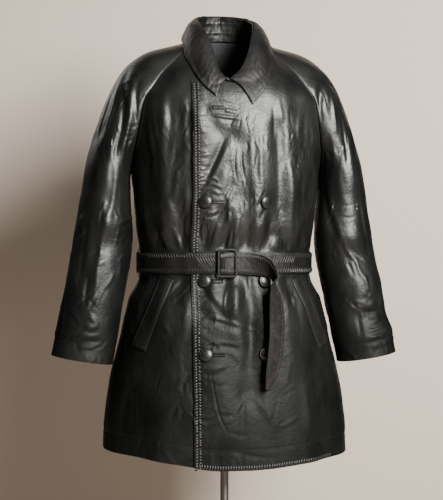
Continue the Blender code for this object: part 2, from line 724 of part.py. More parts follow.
def neckline(side, along):
    """The coat's neck edge on one side, from the centre front (0) to the centre back (1)."""
    shares = np.linspace(0, 1, FRONT_COLUMNS + 1)
    angle = side * shares * np.radians(ARMHOLE.at("front_angle", 2.0))
    front = body_point(angle, NECK_FRONT.at("height", shares), lapped=side == 1)
    arc = mirrored(sleeve_point(side, np.linspace(1, -1, SLEEVE_COLUMNS + 1), 2.0), side)
    shares = np.linspace(1, 0, BACK_COLUMNS // 2 + 1)
    angle = side * (math.pi - shares * (math.pi - np.radians(ARMHOLE.at("back_angle", 2.0))))
    back = body_point(angle, NECK_BACK.at("height", shares))
    return resample(np.concatenate([front, arc[1:-1], back]), along)


def collar_columns(count):
    """Signed places round the collar, from the wearer's right front (-1) by the back to the left front (1)."""
    return np.linspace(-1, 1, count + 1)


def collar_line(places, which):
    along = 1 - np.abs(places)
    side = np.where(places < 0, -1, 1)
    points = np.stack([COLLAR.at(f"{which}_{axis}", along) for axis in "xyz"], axis=1)
    shifts, reach = COLLAR_SHIFTS[which]
    shift = np.array([[shifts[s][0], 0, shifts[s][1]] for s in side])
    points = points + (1 - soft_step(along / reach))[:, None] * shift
    points[:, 0] *= side
    return points


def neck_points(places):
    along = 1 - np.abs(places)
    points = np.zeros((len(places), 3))
    for side in (-1, 1):
        chosen = (places < 0) == (side == -1)
        points[chosen] = neckline(side, along[chosen])
    front = (np.abs(points[:, 0]) < MIDDLE_GAP) & (along < HALF)
    points[front, 0] = np.where(places[front] < 0, -MIDDLE_GAP, MIDDLE_GAP)
    return points


def build_collar_stand():
    places = collar_columns(COLLAR_COLUMNS)
    low = neck_points(places)
    low[:, 2] += STAND_LIFT
    high = collar_line(places, "fold")
    high -= STAND_INSET * unit((high - NECK_AXIS) * NECK_OUT)
    high[:, 2] -= COLLAR_WALL + 2 * TRIM_GAP
    outer = np.stack([low, (low + high) / 2, high])
    normals = grid_normals(outer[:, ::-1])[:, ::-1]
    outward = np.sum(normals * (outer - NECK_AXIS) * NECK_OUT, axis=-1)
    normals = np.where(outward[..., None] < 0, -normals, normals)
    add_grid_wall("collar_stand", outer, outer - STAND_WALL * normals, "leather")


def collar_surface(places, steps):
    """The collar's outer face: it rolls out of the fold line and falls to its edge."""
    fold = collar_line(places, "fold")
    edge = collar_line(places, "edge")
    along = 1 - np.abs(places)
    roll = COLLAR.at("roll", along)[:, None]
    outward = unit((fold - NECK_AXIS) * NECK_OUT)
    shoulder = fold + (edge - fold) * COLLAR_BULGE + outward * roll + COLLAR_LIFT
    t = np.linspace(0, 1, steps + 1)[:, None, None]
    return (1 - t) ** 2 * fold + 2 * t * (1 - t) * shoulder + t**2 * edge


def tree_of(grids):
    """One tree of the outer faces of several grids of points."""
    points, faces = [], []
    for grid in grids:
        start = len(points)
        points.extend(Vector(p) for p in grid.reshape(-1, 3))
        faces.extend([i + start for i in face] for face in grid_faces(*grid.shape[:2]))
    return BVHTree.FromPolygons(points, faces)


def held_off(points, tree, distance):
    """Moves each point of a grid that lies nearer than this to the faces below it straight out of them."""
    moved = points.copy().reshape(-1, 3)
    for index, point in enumerate(moved):
        for _ in range(HOLD_PASSES):
            place, normal, _, _ = tree.find_nearest(Vector(point))
            outward = Vector((place.x, place.y - NECK_AXIS[1], HOLD_STEEPNESS))
            if normal.dot(outward) < 0:
                normal = -normal
            gap = (Vector(point) - place).dot(normal)
            if gap < distance and (Vector(point) - place).length < HOLD_REACH:
                point = point + np.array(normal) * (distance - gap)
        moved[index] = point
    return moved.reshape(points.shape)


def build_collar_fall(coat):
    places = collar_columns(COLLAR_COLUMNS)
    outer = collar_surface(places, COLLAR_ROWS)
    lower = held_off(outer[1:], coat, COLLAR_WALL + COLLAR_CLEARANCE)
    outer = np.concatenate([outer[:1], lower])
    normals = grid_normals(outer)
    if normals[0, COLLAR_COLUMNS // 2, 2] < 0:
        normals = -normals
    add_grid_wall("collar_fall", outer, outer - COLLAR_WALL * normals, "leather")


def front_place(x, z, lapped=True):
    """Points of a front at x and z, and the way out of it."""
    angle = angle_at(x, np.array(z, float))
    return body_point(angle, z, lapped), body_normal(angle, z, lapped)


def on_faces(points, normals, tree):
    """The same points on the built faces, which lie a little in or out of the smooth form."""
    found = points.copy().reshape(-1, 3)
    for index, (point, normal) in enumerate(zip(points.reshape(-1, 3), normals.reshape(-1, 3))):
        place, _, _, _ = tree.ray_cast(Vector(point + PROBE * normal), Vector(-normal), 2 * PROBE)
        if place:
            found[index] = place
    return found.reshape(points.shape)


def seat_height(place, normal, radius, tree):
    """How far out of a place the highest of the faces under a round piece lies."""
    highest = 0.0
    aside = unit(np.cross(normal, [0, 0, 1.0]))
    up = np.cross(aside, normal)
    for turn in np.radians(np.arange(0, 360, SEAT_STEP)):
        spot = place + radius * (math.cos(turn) * aside + math.sin(turn) * up)
        found, _, _, _ = tree.ray_cast(Vector(spot + PROBE * normal), Vector(-normal), 2 * PROBE)
        if found:
            highest = max(highest, float((np.array(found) - place) @ normal))
    return highest


def add_patch(name, across, along, origin, direction, thickness, tree, side=1, leave_out=()):
    """A flat piece of leather that lies on a front, a gap out from its points."""
    across, along = np.meshgrid(across, along, indexing="ij")
    run = np.array(direction) / np.hypot(*direction)
    x = origin[0] + along * run[0] - across * run[1]
    z = origin[1] + along * run[1] + across * run[0]
    points, normals = front_place(side * x, z, side == 1)
    points = on_faces(points, normals, tree)
    pairs = zip(points.reshape(-1, 3), normals.reshape(-1, 3))
    seat = [seat_height(place, normal, PATCH_REACH, tree) for place, normal in pairs]
    inner = points + (np.reshape(seat, x.shape)[..., None] + TRIM_GAP) * normals
    outer = inner + thickness * normals
    add_grid_wall(name, outer, inner, "leather", leave_out=leave_out)


def build_welts(trees):
    run = (WELT_BOTTOM[0] - WELT_TOP[0], WELT_BOTTOM[1] - WELT_TOP[1])
    across = np.linspace(-WELT_WIDTH / 2, WELT_WIDTH / 2, WELT_COLUMNS + 1)
    along = np.linspace(0, math.hypot(*run), WELT_ROWS + 1)
    for side, name in ((1, "pocket_welt_left"), (-1, "pocket_welt_right")):
        add_patch(name, across, along, WELT_TOP, run, WELT_WALL, trees[side], side)


def build_buttonholes(tree):
    half_length, half_width = BUTTONHOLE_SIZE[0] / 2, BUTTONHOLE_SIZE[1] / 2
    slot_length, slot_width = BUTTONHOLE_SLOT[0] / 2, BUTTONHOLE_SLOT[1] / 2
    across = np.array([-half_width, -slot_width, slot_width, half_width])
    along = np.array([-half_length, -slot_length, 0, slot_length, half_length])
    slot = ((1, 1), (1, 2))
    heights = {"collar": COLLAR_BUTTONHOLE} | BUTTON_HEIGHTS
    for name, z in heights.items():
        origin = (BUTTONHOLE_X, z)
        add_patch(f"buttonhole_{name}", across, along, origin, (1, 0), BUTTONHOLE_WALL, tree, leave_out=slot)


def build_buttons(tree):
    sides = BUTTON_SIDES
    for row, z in BUTTON_HEIGHTS.items():
        for side, hand in ((1, "left"), (-1, "right")):
            place, normal = front_place(side * BUTTON_X, z)
            place = on_faces(place, normal, tree)
            rise = seat_height(place, normal, BUTTON_RINGS[0][0] * BUTTON_RADIUS, tree) + TRIM_GAP
            model = bmesh.new()
            loops = []
            for share, depth in BUTTON_RINGS:
                loop = []
                for step in range(sides):
                    turn = 2 * math.pi * step / sides
                    radius = share * BUTTON_RADIUS
                    loop.append(model.verts.new((radius * math.cos(turn), radius * math.sin(turn), depth)))
                loops.append(loop)
            for low, high in zip(loops, loops[1:]):
                for step in range(sides):
                    after = (step + 1) % sides
                    model.faces.new((low[step], low[after], high[after], high[step]))
            top = model.verts.new((0, 0, BUTTON_HEIGHT))
            for step in range(sides):
                model.faces.new((loops[-1][step], loops[-1][(step + 1) % sides], top))
            model.faces.new(list(reversed(loops[0])))
            mesh = bpy.data.meshes.new(f"button_{row}_{hand}")
            model.to_mesh(mesh)
            model.free()
            mesh.shade_smooth()
            mesh.set_sharp_from_angle(angle=math.radians(SHARP_ANGLE))
            mesh.materials.append(material_of("button"))
            obj = bpy.data.objects.new(mesh.name, mesh)
            obj.location = place + normal * rise
            obj.rotation_mode = "QUATERNION"
            obj.rotation_quaternion = Vector(normal).to_track_quat("Z", "Y")
            bpy.context.scene.collection.objects.link(obj)


def waist_radius(angle):
    """The coat's outer radius under the belt, which bridges the step at the lapped edge."""
    plain = plain_radius(angle, WAIST)
    x = plain * np.sin(angle)
    lap = lap_lift(x, WAIST) * soft_step((x + LAP + BRIDGE_START) / BRIDGE_REACH)
    return plain + np.where(np.cos(angle) > 0, lap, 0.0)


def build_belt():
    start = float(angle_at(BUCKLE_X + BELT_END, np.array(WAIST)))
    end = 2 * math.pi + float(angle_at(BUCKLE_X - BELT_END, np.array(WAIST)))
    angle = np.linspace(start, end, BELT_COLUMNS + 1)
    heights = np.array([WAIST - BELT_WIDTH / 2, WAIST, WAIST + BELT_WIDTH / 2])
    inner_radius = waist_radius(angle) + BELT_GAP
    shape = (len(heights), len(angle))
    around = np.stack([np.sin(angle), -np.cos(angle)], axis=-1)
    inner = np.empty((*shape, 3))
    outer = np.empty((*shape, 3))
    inner[..., :2] = around * inner_radius[:, None]
    outer[..., :2] = around * (inner_radius + BELT_WALL)[:, None]
    inner[..., 2] = outer[..., 2] = heights[:, None]
    add_grid_wall("belt_band", outer, inner, "leather")


def build_tail():
    rows = TAIL.values[:, 0]
    steps = np.linspace(rows[0], rows[-1], TAIL_STEPS + 1)
    x, z = TAIL.at("x", steps), TAIL.at("z", steps)
    base = np.empty((len(steps), 3))
    outward = np.empty((len(steps), 3))
    for index in range(len(steps)):
        base[index], outward[index] = front_place(x[index], WAIST if z[index] > BELT_FOOT else z[index])
        base[index, 2] = z[index]
    outward[:, 2] = 0
    outward = unit(outward)
    middle = base + outward * TAIL.at("out", steps)[:, None]
    run = unit(np.gradient(np.stack([x, z], axis=1), axis=0))
    aside = np.stack([-run[:, 1], 0 * x, run[:, 0]], axis=1)
    turn = np.radians(TAIL.at("turn", steps))[:, None]
    breadth = np.cos(turn) * aside + np.sin(turn) * outward
    along = np.gradient(middle, axis=0)
    face = unit(np.cross(along, breadth))
    breadth = unit(np.cross(face, along))
    half = TAIL.at("width", steps)[:, None] / 2
    line = np.stack([middle - half * breadth, middle, middle + half * breadth])
    outer = line + TAIL_WALL / 2 * face
    inner = line - TAIL_WALL / 2 * face
    add_grid_wall("belt_tail", outer, inner, "leather")


def build_buckle():
    place, normal = front_place(BUCKLE_X, WAIST)
    width, height = BUCKLE_SIZE
    model = bmesh.new()
    corners = []
    for depth in (0, BUCKLE_DEPTH):
        for inset in (0, BUCKLE_BAR):
            half_x, half_z = width / 2 - inset, height / 2 - inset
            ring = ((-half_x, -half_z), (half_x, -half_z), (half_x, half_z), (-half_x, half_z))
            corners.append([model.verts.new((x, y, depth)) for x, y in ring])
    back_outer, back_inner, front_outer, front_inner = corners
    for step in range(4):
        after = (step + 1) % 4
        for first, second in (
            (back_outer, front_outer),
            (front_outer, front_inner),
            (front_inner, back_inner),
            (back_inner, back_outer),
        ):
            model.faces.new((first[step], first[after], second[after], second[step]))
    bmesh.ops.recalc_face_normals(model, faces=model.faces)
    edges = [edge for edge in model.edges if edge.calc_face_angle(0) > BUCKLE_CORNER]
    bmesh.ops.bevel(model, geom=edges, offset=BUCKLE_BEVEL, segments=1, affect="EDGES")
    mesh = bpy.data.meshes.new("buckle_frame")
    model.to_mesh(mesh)
    model.free()
    mesh.shade_smooth()
    mesh.set_sharp_from_angle(angle=math.radians(SHARP_ANGLE))
    mesh.materials.append(material_of("leather"))
    obj = bpy.data.objects.new("buckle_frame", mesh)
    outward = Vector((normal[0], normal[1], 0)).normalized()
    obj.location = Vector(place) + outward * BUCKLE_OUT
    obj.rotation_mode = "QUATERNION"
    obj.rotation_quaternion = outward.to_track_quat("Z", "Y")
    bpy.context.scene.collection.objects.link(obj)


def build_loops():
    """Loops that stand off the side seams and hold the belt."""
    rise = BELT_GAP + BELT_WALL + LOOP_CLEARANCE
    half = LOOP_HEIGHT / 2
    sewn, free = LOOP_LENGTHS
    profile = [(-half, LOOP_FOOT), (-half + sewn, LOOP_FOOT), (-half + free, rise), (0, rise)]
    path = profile + [(-z, out) for z, out in reversed(profile[:-1])]
    heights = WAIST + np.array([z for z, _ in path])
    outs = np.array([out for _, out in path])
    for side, name in ((1, "belt_loop_left"), (-1, "belt_loop_right")):
        middle = side * math.pi / 2
        angle = middle + np.array([-1, 0, 1]) * LOOP_WIDTH / 2 / BODY.at("half_width", WAIST)
        waist = plain_radius(angle[None, :], WAIST)
        radius = waist + outs[:, None]
        flare = np.maximum(plain_radius(angle[None, :], heights[:, None]) - waist, 0)
        around = np.stack([np.sin(angle), -np.cos(angle)], axis=-1)
        points = np.empty((len(path), len(angle), 3))
        outer = np.empty_like(points)
        points[..., :2] = around * (radius + flare)[..., None]
        outer[..., :2] = around * (radius + flare + LOOP_WALL)[..., None]
        points[..., 2] = outer[..., 2] = heights[:, None]
        add_grid_wall(name, outer, points, "leather")


def form_ring(height, share=1.0):
    angle = np.arange(FORM_SIDES) * 2 * math.pi / FORM_SIDES
    depth = np.where(np.cos(angle) > 0, FORM.at("front_depth", height), FORM.at("back_depth", height))
    radius = share * superellipse(angle, FORM.at("half_width", height), depth, FORM_SQUARENESS)
    return np.stack([radius * np.sin(angle), -radius * np.cos(angle), np.full(FORM_SIDES, height)], axis=-1)


def build_form():
    """A limbless torso whose neck is left out, low between its shoulders."""
    rings = [form_ring(h, FORM_FOOT_SHARE if h == FORM_BOTTOM else 1.0) for h in FORM_HEIGHTS]
    top = FORM_HEIGHTS[-1]
    for share in FORM_TOP_SHARES:
        ring = form_ring(top, share)
        ridge = FORM_RIDGE.at("height", np.abs(ring[:, 0]))
        slope = 1 - (np.abs(ring[:, 1]) / FORM.at("front_depth", top)) ** 2
        ring[:, 2] = top + (ridge - top) * np.clip(slope, 0, 1) * (1 - share**FORM_TOP_POWER)
        rings.append(ring)
    points = np.concatenate(rings + [[[0, 0, FORM_RIDGE.at("height", 0.0)]], [[0, 0, FORM_BOTTOM]]])
    faces = []
    for row in range(len(rings) - 1):
        for step in range(FORM_SIDES):
            after = (step + 1) % FORM_SIDES
            low, high = row * FORM_SIDES, (row + 1) * FORM_SIDES
            faces.append([low + step, low + after, high + after, high + step])
    last = (len(rings) - 1) * FORM_SIDES
    for step in range(FORM_SIDES):
        after = (step + 1) % FORM_SIDES
        faces.append([last + step, last + after, len(points) - 2])
        faces.append([after, step, len(points) - 1])
    add_mesh("dress_form", points, faces, "form")


def build_pole():
    top = FORM_BOTTOM - SEAM_GAP
    bottom = BASE_HEIGHT + SEAM_GAP
    bpy.ops.mesh.primitive_cylinder_add(
        vertices=POLE_SIDES, radius=POLE_RADIUS, depth=top - bottom, location=(0, 0, (top + bottom) / 2)
    )
    pole = bpy.context.active_object
    pole.name = pole.data.name = "pole"
    pole.data.shade_smooth()
    pole.data.set_sharp_from_angle(angle=math.radians(SHARP_ANGLE))
    pole.data.materials.append(material_of("steel"))


def build_base():
    bpy.ops.mesh.primitive_cylinder_add(
        vertices=BASE_SIDES, radius=BASE_RADIUS, depth=BASE_HEIGHT, location=(0, 0, BASE_HEIGHT / 2)
    )
    base = bpy.context.active_object
    base.name = base.data.name = "base"
    bevel = base.modifiers.new("edge", "BEVEL")
    bevel.width = BASE_EDGE
    bevel.segments = 2
    bevel.limit_method = "ANGLE"
    base.data.shade_smooth()
    base.data.set_sharp_from_angle(angle=math.radians(SHARP_ANGLE))
    base.data.materials.append(material_of("painted"))


def build_coat():
    seams, sleeves = build_sleeves()
    fronts = build_fronts(seams)
    back = build_back(seams)
    build_lining()
    build_collar_stand()
    build_collar_fall(tree_of([*fronts, back, *sleeves]))
    trees = {1: tree_of(fronts[:1]), -1: tree_of(fronts[1:])}
    build_welts(trees)
    build_buttonholes(trees[1])
    build_buttons(trees[1])
    build_belt()
    build_tail()
    build_buckle()
    build_loops()


clear_scene()
build_coat()
build_form()
build_pole()
build_base()
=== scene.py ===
"""Looks of the belted leather coat on its form and stand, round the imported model.

Metres, +Z up. The coat's front faces -Y and +X is the wearer's left.
"""

import math

import bpy
import numpy as np
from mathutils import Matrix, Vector
from mathutils.bvhtree import BVHTree


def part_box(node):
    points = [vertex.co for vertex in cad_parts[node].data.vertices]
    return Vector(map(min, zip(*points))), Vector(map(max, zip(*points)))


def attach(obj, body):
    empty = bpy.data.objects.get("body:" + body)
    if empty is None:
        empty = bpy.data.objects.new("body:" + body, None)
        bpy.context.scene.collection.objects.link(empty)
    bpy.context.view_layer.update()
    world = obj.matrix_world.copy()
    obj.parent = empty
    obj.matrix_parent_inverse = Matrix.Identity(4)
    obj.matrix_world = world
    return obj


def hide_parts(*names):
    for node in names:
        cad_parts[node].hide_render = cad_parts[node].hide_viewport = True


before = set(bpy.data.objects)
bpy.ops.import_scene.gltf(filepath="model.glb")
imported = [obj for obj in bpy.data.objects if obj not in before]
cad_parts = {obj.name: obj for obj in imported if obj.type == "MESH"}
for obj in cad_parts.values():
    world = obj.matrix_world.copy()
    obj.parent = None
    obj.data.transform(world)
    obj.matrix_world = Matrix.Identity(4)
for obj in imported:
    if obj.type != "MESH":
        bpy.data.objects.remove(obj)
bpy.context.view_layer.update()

# Walls, gaps and heights of the coat, as in the solids
WALL = 0.0020
SEAM_GAP = 0.00040
OVERLAP_GAP = 0.0023
COLLAR_WALL = 0.0026
STAND_WALL = 0.0022
LINING_WALL = 0.0012
LINING_GAP = 0.0020
TRIM_GAP = 0.0002
STAND_INSET = 0.0020
COLLAR_CLEARANCE = 0.0022
HEM = 0.580
UNDERARM = 1.165
LEVEL_BELOW = 1.030
WAIST = 0.984
LAP = 0.083
LAP_FADE = 0.034
NECK_HEIGHT = 1.341
LAP_TOP = 1.352
LAP_RISE = 0.008
LAP_TOP_FADE = 0.030
LAP_SHOULDER = 0.014
STAND_LIFT = 0.0027
HEM_RISE = {-1: 0.024, 1: 0.012}
HEM_RISE_START = 0.15
HEM_RISE_REACH = 0.24
BELT_WIDTH = 0.043
BELT_WALL = 0.0032
BELT_GAP = 0.0012
BUCKLE_X = -0.0155
BUCKLE_SIZE = (0.040, 0.058)
BUCKLE_BAR = 0.0052
BUCKLE_CORNER = 0.0045
BUCKLE_SQUARENESS = 0.75
BUCKLE_HALF_DEPTH = 0.0024
LOOP_WIDTH = 0.010
LOOP_HEIGHT = 0.062
BUTTON_RADIUS = 0.0130
BUTTON_X = 0.058
BUTTON_HEIGHTS = {"upper": 1.105, "middle": 0.9480, "lower": 0.805}
BUTTON_HEIGHT = 0.0080
# A button from its foot to its top: share of its radius, and height
BUTTON_PROFILE = (
    (0, 0.0), (0.5, 0.0), (0.86, 0.0010), (0.965, 0.0022), (1.0, 0.0036), (0.985, 0.0046), (0.93, 0.0055),
    (0.88, 0.0058), (0.85, 0.0056), (0.80, 0.0059), (0.66, 0.0068), (0.50, 0.0074), (0.30, 0.0078),
    (0.12, BUTTON_HEIGHT), (0, BUTTON_HEIGHT),
)
BUTTONHOLE_HEIGHTS = {"collar": 1.290} | BUTTON_HEIGHTS
BUTTONHOLE_X = -0.0345
BUTTONHOLE_SIZE = (0.024, 0.0090)
BUTTONHOLE_SLOT = (0.0180, 0.0015)
WELT_WIDTH = 0.028
WELT_WALL = 0.0026
WELT_TOP = (0.1315, 0.955)
WELT_BOTTOM = (0.1880, 0.813)
WELT_LIFT = 0.0006
POLE_RADIUS = 0.0090
BASE_RADIUS = 0.198
BASE_HEIGHT = 0.014
FORM_BOTTOM = 0.700
FORM_TOP = 1.310
LEVEL = np.array([1, 1, 0])
NECK_AXIS = np.array([0, -0.02, 0])
COLLAR_SHIFTS = {
    "edge": ({-1: (0.002, 0.008), 1: (-0.003, -0.008)}, 0.22),
    "fold": ({-1: (0.0125, -0.011), 1: (-0.0115, -0.011)}, 0.40),
}

# Lengths of the leather along a sleeve's tube and head, half a sleeve's thickness, and the collar's reach
TUBE_LENGTH = 0.394
HEAD_LENGTH = 0.33
HALF_THICKNESS = 0.0625
COLLAR_REACH = np.array([0.33, 0.085])

# Troughs along the raglan seams and along the stitched folds of hem and cuffs: depth, half breadth and place
SEAM_DIP = 0.0013
SEAM_BREADTH = 0.0024
SEAM_START = 1.02
HEM_DIP = 0.0009
HEM_BREADTH = 0.0022
HEM_FOLD = 0.038
CUFF_FOLD = 0.034

# Distances from a seam and from the neckline over which creases come in
SEAM_CALM = 0.012
NECK_CALM = 0.010

# Stitches, lacing and braid
STITCH_SUNK = 0.00010
STITCH_WALL = 0.0006
# Width, length and pitch of the belt's stitches, and the rows of its grid that they follow
STRAP_STITCHES = (0.0008, 0.0036, 0.0048)
STRAP_STITCH_ROWS = (3, 13)
COLLAR_STITCH_INSET = 0.0065
WELT_STITCH_INSET = 0.0042
BRAID_LIFT = 0.0004
# Crossed lacing on the belt: its middle and the way it rises, then half its length and how far lacing shows
HERRINGBONES = ((-0.052, 1), (0.105, -1))
HERRINGBONE_REACH = 0.024
BRAID_REACH = 0.185
LACE_TOP = 1.338
# Each column of lacing: start, end and rise of its strands
LACE_COLUMNS = ((-0.0822, -0.0757, 0.0036), (-0.0752, -0.0690, -0.0036))
HEM_LACE_END = 0.205
PUCKER_START = 0.030
PUCKER_INSET = 0.0135
STRONG_PUCKERS = ((0.66, 0.94), (1.06, 1.28))

# Slow unevenness of the leather: size, wave length, and how much longer it is upwards
COAT_WAVE = (0.00045, 0.060, 1.3)
SLEEVE_WAVE = (0.00045, 0.050, 1.3)
COLLAR_WAVE = (0.0006, 0.030, 1.5)
STAND_WAVES = ((42, 0.0009, 0.028, 2.2), (43, 0.0004, 0.010, 1.6))
SMALL_WAVE = (0.0003, 0.02, 1.0)
BELT_WAVE = (0.0005, 0.030, 1.0)
TAIL_WAVE = (0.0004, 0.03, 1.0)

# Collar and neck
COLLAR_SHOULDER = np.array([0.45, 0.45, 0.12])
COLLAR_CREASE_SHARE = 0.45
STAND_ROWS = 25
STAND_SEAMS = (0.017, 0.037)
MIDDLE_GAP = 0.0015
LINING_DROP = 0.085
LINING_ANGLE = 46

# A wave texture's scale times its pitch
WAVES_TO_PITCH = 0.314

# How a crease's profile is made, and the radius at which a turned piece is closed
MILLI = 1000
STEP_SIZE = 2.33
PINCH_SIZE = 1.35
PINCH_SHOULDER = 0.42
PINCH_REACH = 2.3
CLOSED = 0.0001

# The camera's way ahead and to the right, its distance from the pole, place and lens
AHEAD_WAY = (0.139, 0.990)
RIGHT_WAY = (0.990, -0.139)
CAMERA_DISTANCE = 2.4
CAMERA_ASIDE = 0.0063
CAMERA_HEIGHT = 1.01
CAMERA_LENS = 82

# Light: name, azimuth, elevation, distance, size, power, colour, and the point it looks at
LIGHTS = (
    ("key", 21, 16, 2.3, (0.60, 1.15), 212, (1.0, 0.99, 0.965), (0, 0, 1.2)),
    ("fill", -50, 35, 2.8, (1.6, 1.6), 0.8, (1.0, 0.97, 0.94), (0, 0, 1.1)),
    ("top", 10, 72, 2.2, (1.6, 1.2), 6, (1.0, 0.96, 0.91), (0, 0, 1.1)),
    ("back", 215, 32, 2.8, (1.4, 1.4), 16, (1.0, 0.97, 0.94), (0, 0, 1.1)),
)
WORLD_COLOUR = (0.80, 0.74, 0.69, 1)
WORLD_STRENGTH = 0.02

# Stage: a floor, and a backdrop that curves up behind the stand
STAGE_COLOUR = (0.54, 0.465, 0.395, 1)
STAGE_ROUGHNESS = 0.9
FLOOR_HALF = 3.0
BACKDROP_HALF = 0.655
BACKDROP_BEHIND = 0.75
BACKDROP_TOP = 2.3
COVE_RADIUS = 0.30

# Below these heights the leather is rougher, and less waxed
ROUGH_FADE = (0.80, 1.06)
WAX_FADE = (0.82, 1.08)


class Table:
    """Rows of named columns, each read as a smooth curve over the first one."""

    def __init__(self, columns, rows):
        self.columns = columns
        self.values = np.array(rows, float)

    def at(self, name, where):
        keys = self.values[:, 0]
        values = self.values[:, self.columns.index(name)]
        span = np.diff(keys)
        slope = np.diff(values) / span
        product = slope[:-1] * slope[1:]
        total = slope[:-1] + slope[1:]
        inner = np.where(product > 0, 2 * product / np.where(total == 0, 1, total), 0)
        tangent = np.concatenate([slope[:1], inner, slope[-1:]])
        where = np.clip(np.asarray(where, float), keys[0], keys[-1])
        row = np.clip(np.searchsorted(keys, where, side="right") - 1, 0, len(span) - 1)
        t = (where - keys[row]) / span[row]
        start = (1 + 2 * t) * (1 - t) ** 2 * values[row] + t * (1 - t) ** 2 * span[row] * tangent[row]
        end = t * t * (3 - 2 * t) * values[row + 1] - t * t * (1 - t) * span[row] * tangent[row + 1]
        return start + end


BODY = Table(
    ("height", "half_width", "front_depth", "back_depth", "squareness"),
    (
        (0.580, 0.256, 0.183, 0.172, 2.30),
        (0.655, 0.2525, 0.180, 0.168, 2.30),
        (0.740, 0.2415, 0.173, 0.162, 2.30),
        (0.825, 0.2205, 0.164, 0.153, 2.30),
        (0.905, 0.201, 0.153, 0.142, 2.35),
        (0.956, 0.178, 0.138, 0.121, 2.40),
        (1.010, 0.178, 0.138, 0.121, 2.40),
        (1.060, 0.184, 0.148, 0.131, 2.45),
        (1.165, 0.195, 0.158, 0.142, 2.50),
        (1.250, 0.204, 0.158, 0.146, 2.50),
        (1.310, 0.206, 0.150, 0.142, 2.50),
        (1.360, 0.180, 0.130, 0.128, 2.40),
        (1.400, 0.135, 0.103, 0.108, 2.30),
        (1.430, 0.100, 0.080, 0.096, 2.20),
        (1.465, 0.080, 0.060, 0.082, 2.10),
    ),
)

# The raglan seams and the sleeve head's crest, from the underarm (place 1) to the neckline (place 2)
ARMHOLE = Table(
    (
        "place", "front_angle", "front_height", "back_angle", "back_height",
        "crest_x", "crest_z", "half_depth", "spread",
    ),
    (
        (1.00, 90.0, 1.165, 90.0, 1.165, 0.291, 1.190, 0.0880, 180),
        (1.15, 77.0, 1.195, 104.0, 1.200, 0.282, 1.222, 0.0885, 146),
        (1.30, 68.5, 1.232, 112.0, 1.240, 0.271, 1.258, 0.0895, 122),
        (1.45, 64.0, 1.272, 116.0, 1.282, 0.256, 1.302, 0.0930, 106),
        (1.60, 61.0, 1.315, 119.0, 1.326, 0.234, 1.352, 0.0950, 92),
        (1.72, 58.5, 1.343, 121.0, 1.362, 0.206, 1.392, 0.0910, 78),
        (1.84, 57.5, 1.382, 123.5, 1.405, 0.161, 1.422, 0.0800, 68),
        (1.93, 57.0, 1.415, 125.0, 1.437, 0.110, 1.437, 0.0650, 61),
        (2.00, 52.0, 1.433, 133.0, 1.453, 0.074, 1.447, 0.0620, 56),
    ),
)

# The sleeve's tube, from the cuff (place 0) to the underarm (place 1)
SLEEVE = Table(
    ("place", "outer_x", "outer_z", "inner_x", "inner_z", "half_depth", "middle_y"),
    (
        (0.00, 0.3610, 0.797, 0.2360, 0.776, 0.056, -0.030),
        (0.14, 0.3510, 0.850, 0.2260, 0.830, 0.059, -0.024),
        (0.32, 0.3360, 0.920, 0.2140, 0.902, 0.064, -0.014),
        (0.50, 0.3230, 0.990, 0.2010, 0.972, 0.070, -0.006),
        (0.68, 0.3120, 1.060, 0.1935, 1.045, 0.076, -0.002),
        (0.86, 0.3005, 1.130, 0.1975, 1.112, 0.083, 0.000),
        (1.00, 0.2910, 1.190, 0.1985, 1.168, 0.088, 0.000),
    ),
)

# Neckline heights over the share of the way from the centre to the raglan seam
NECK_FRONT = Table(
    ("share", "height"),
    ((0.0, NECK_HEIGHT), (0.3, 1.356), (0.55, 1.383), (0.8, 1.412), (1.0, 1.433)),
)
NECK_BACK = Table(("share", "height"), ((0.0, 1.462), (0.5, 1.460), (1.0, 1.453)))

# The collar's fold line and outer edge on one side, from the front end (0) to the centre back (1)
COLLAR = Table(
    ("along", "fold_x", "fold_y", "fold_z", "edge_x", "edge_y", "edge_z", "roll"),
    (
        (0.00, 0.0020, -0.1435, 1.361, 0.036, -0.152, 1.304, 0.004),
        (0.14, 0.0200, -0.133, 1.377, 0.060, -0.145, 1.330, 0.007),
        (0.32, 0.0380, -0.104, 1.420, 0.081, -0.115, 1.370, 0.008),
        (0.50, 0.0520, -0.062, 1.463, 0.092, -0.068, 1.412, 0.007),
        (0.64, 0.0600, -0.015, 1.488, 0.0925, -0.018, 1.444, 0.006),
        (0.78, 0.0570, 0.032, 1.503, 0.086, 0.046, 1.453, 0.006),
        (0.90, 0.0340, 0.064, 1.514, 0.055, 0.090, 1.450, 0.006),
        (1.00, 0.0000, 0.076, 1.5175, 0.000, 0.104, 1.448, 0.006),
    ),
)

# The belt's free end: the middle of the strap, its distance out from the coat and its turn about its length
TAIL = Table(
    ("row", "x", "z", "out", "turn", "width"),
    (
        (0, -0.0290, 0.983, 0.0063, 0, 0.043),
        (1, -0.0225, 0.983, 0.0086, 0, 0.043),
        (2, -0.0155, 0.983, 0.0094, 0, 0.043),
        (3, -0.0075, 0.983, 0.0084, 0, 0.043),
        (4, 0.0020, 0.983, 0.0063, 0, 0.043),
        (5, 0.0150, 0.983, 0.0066, 0, 0.043),
        (6, 0.0300, 0.982, 0.0090, 4, 0.043),
        (7, 0.0440, 0.980, 0.0145, 18, 0.042),
        (8, 0.0560, 0.974, 0.0225, 44, 0.040),
        (9, 0.0665, 0.960, 0.0305, 80, 0.037),
        (10, 0.0730, 0.940, 0.0300, 112, 0.038),
        (11, 0.0765, 0.915, 0.0240, 132, 0.041),
        (12, 0.0775, 0.885, 0.0175, 142, 0.043),
        (13, 0.0760, 0.848, 0.0165, 146, 0.042),
        (14, 0.0720, 0.810, 0.0165, 147, 0.040),
        (15, 0.0660, 0.773, 0.0170, 147, 0.034),
        (16, 0.0570, 0.738, 0.0175, 147, 0.010),
    ),
)
TAIL_WALL = 0.0030
BELT_FOOT = 0.950

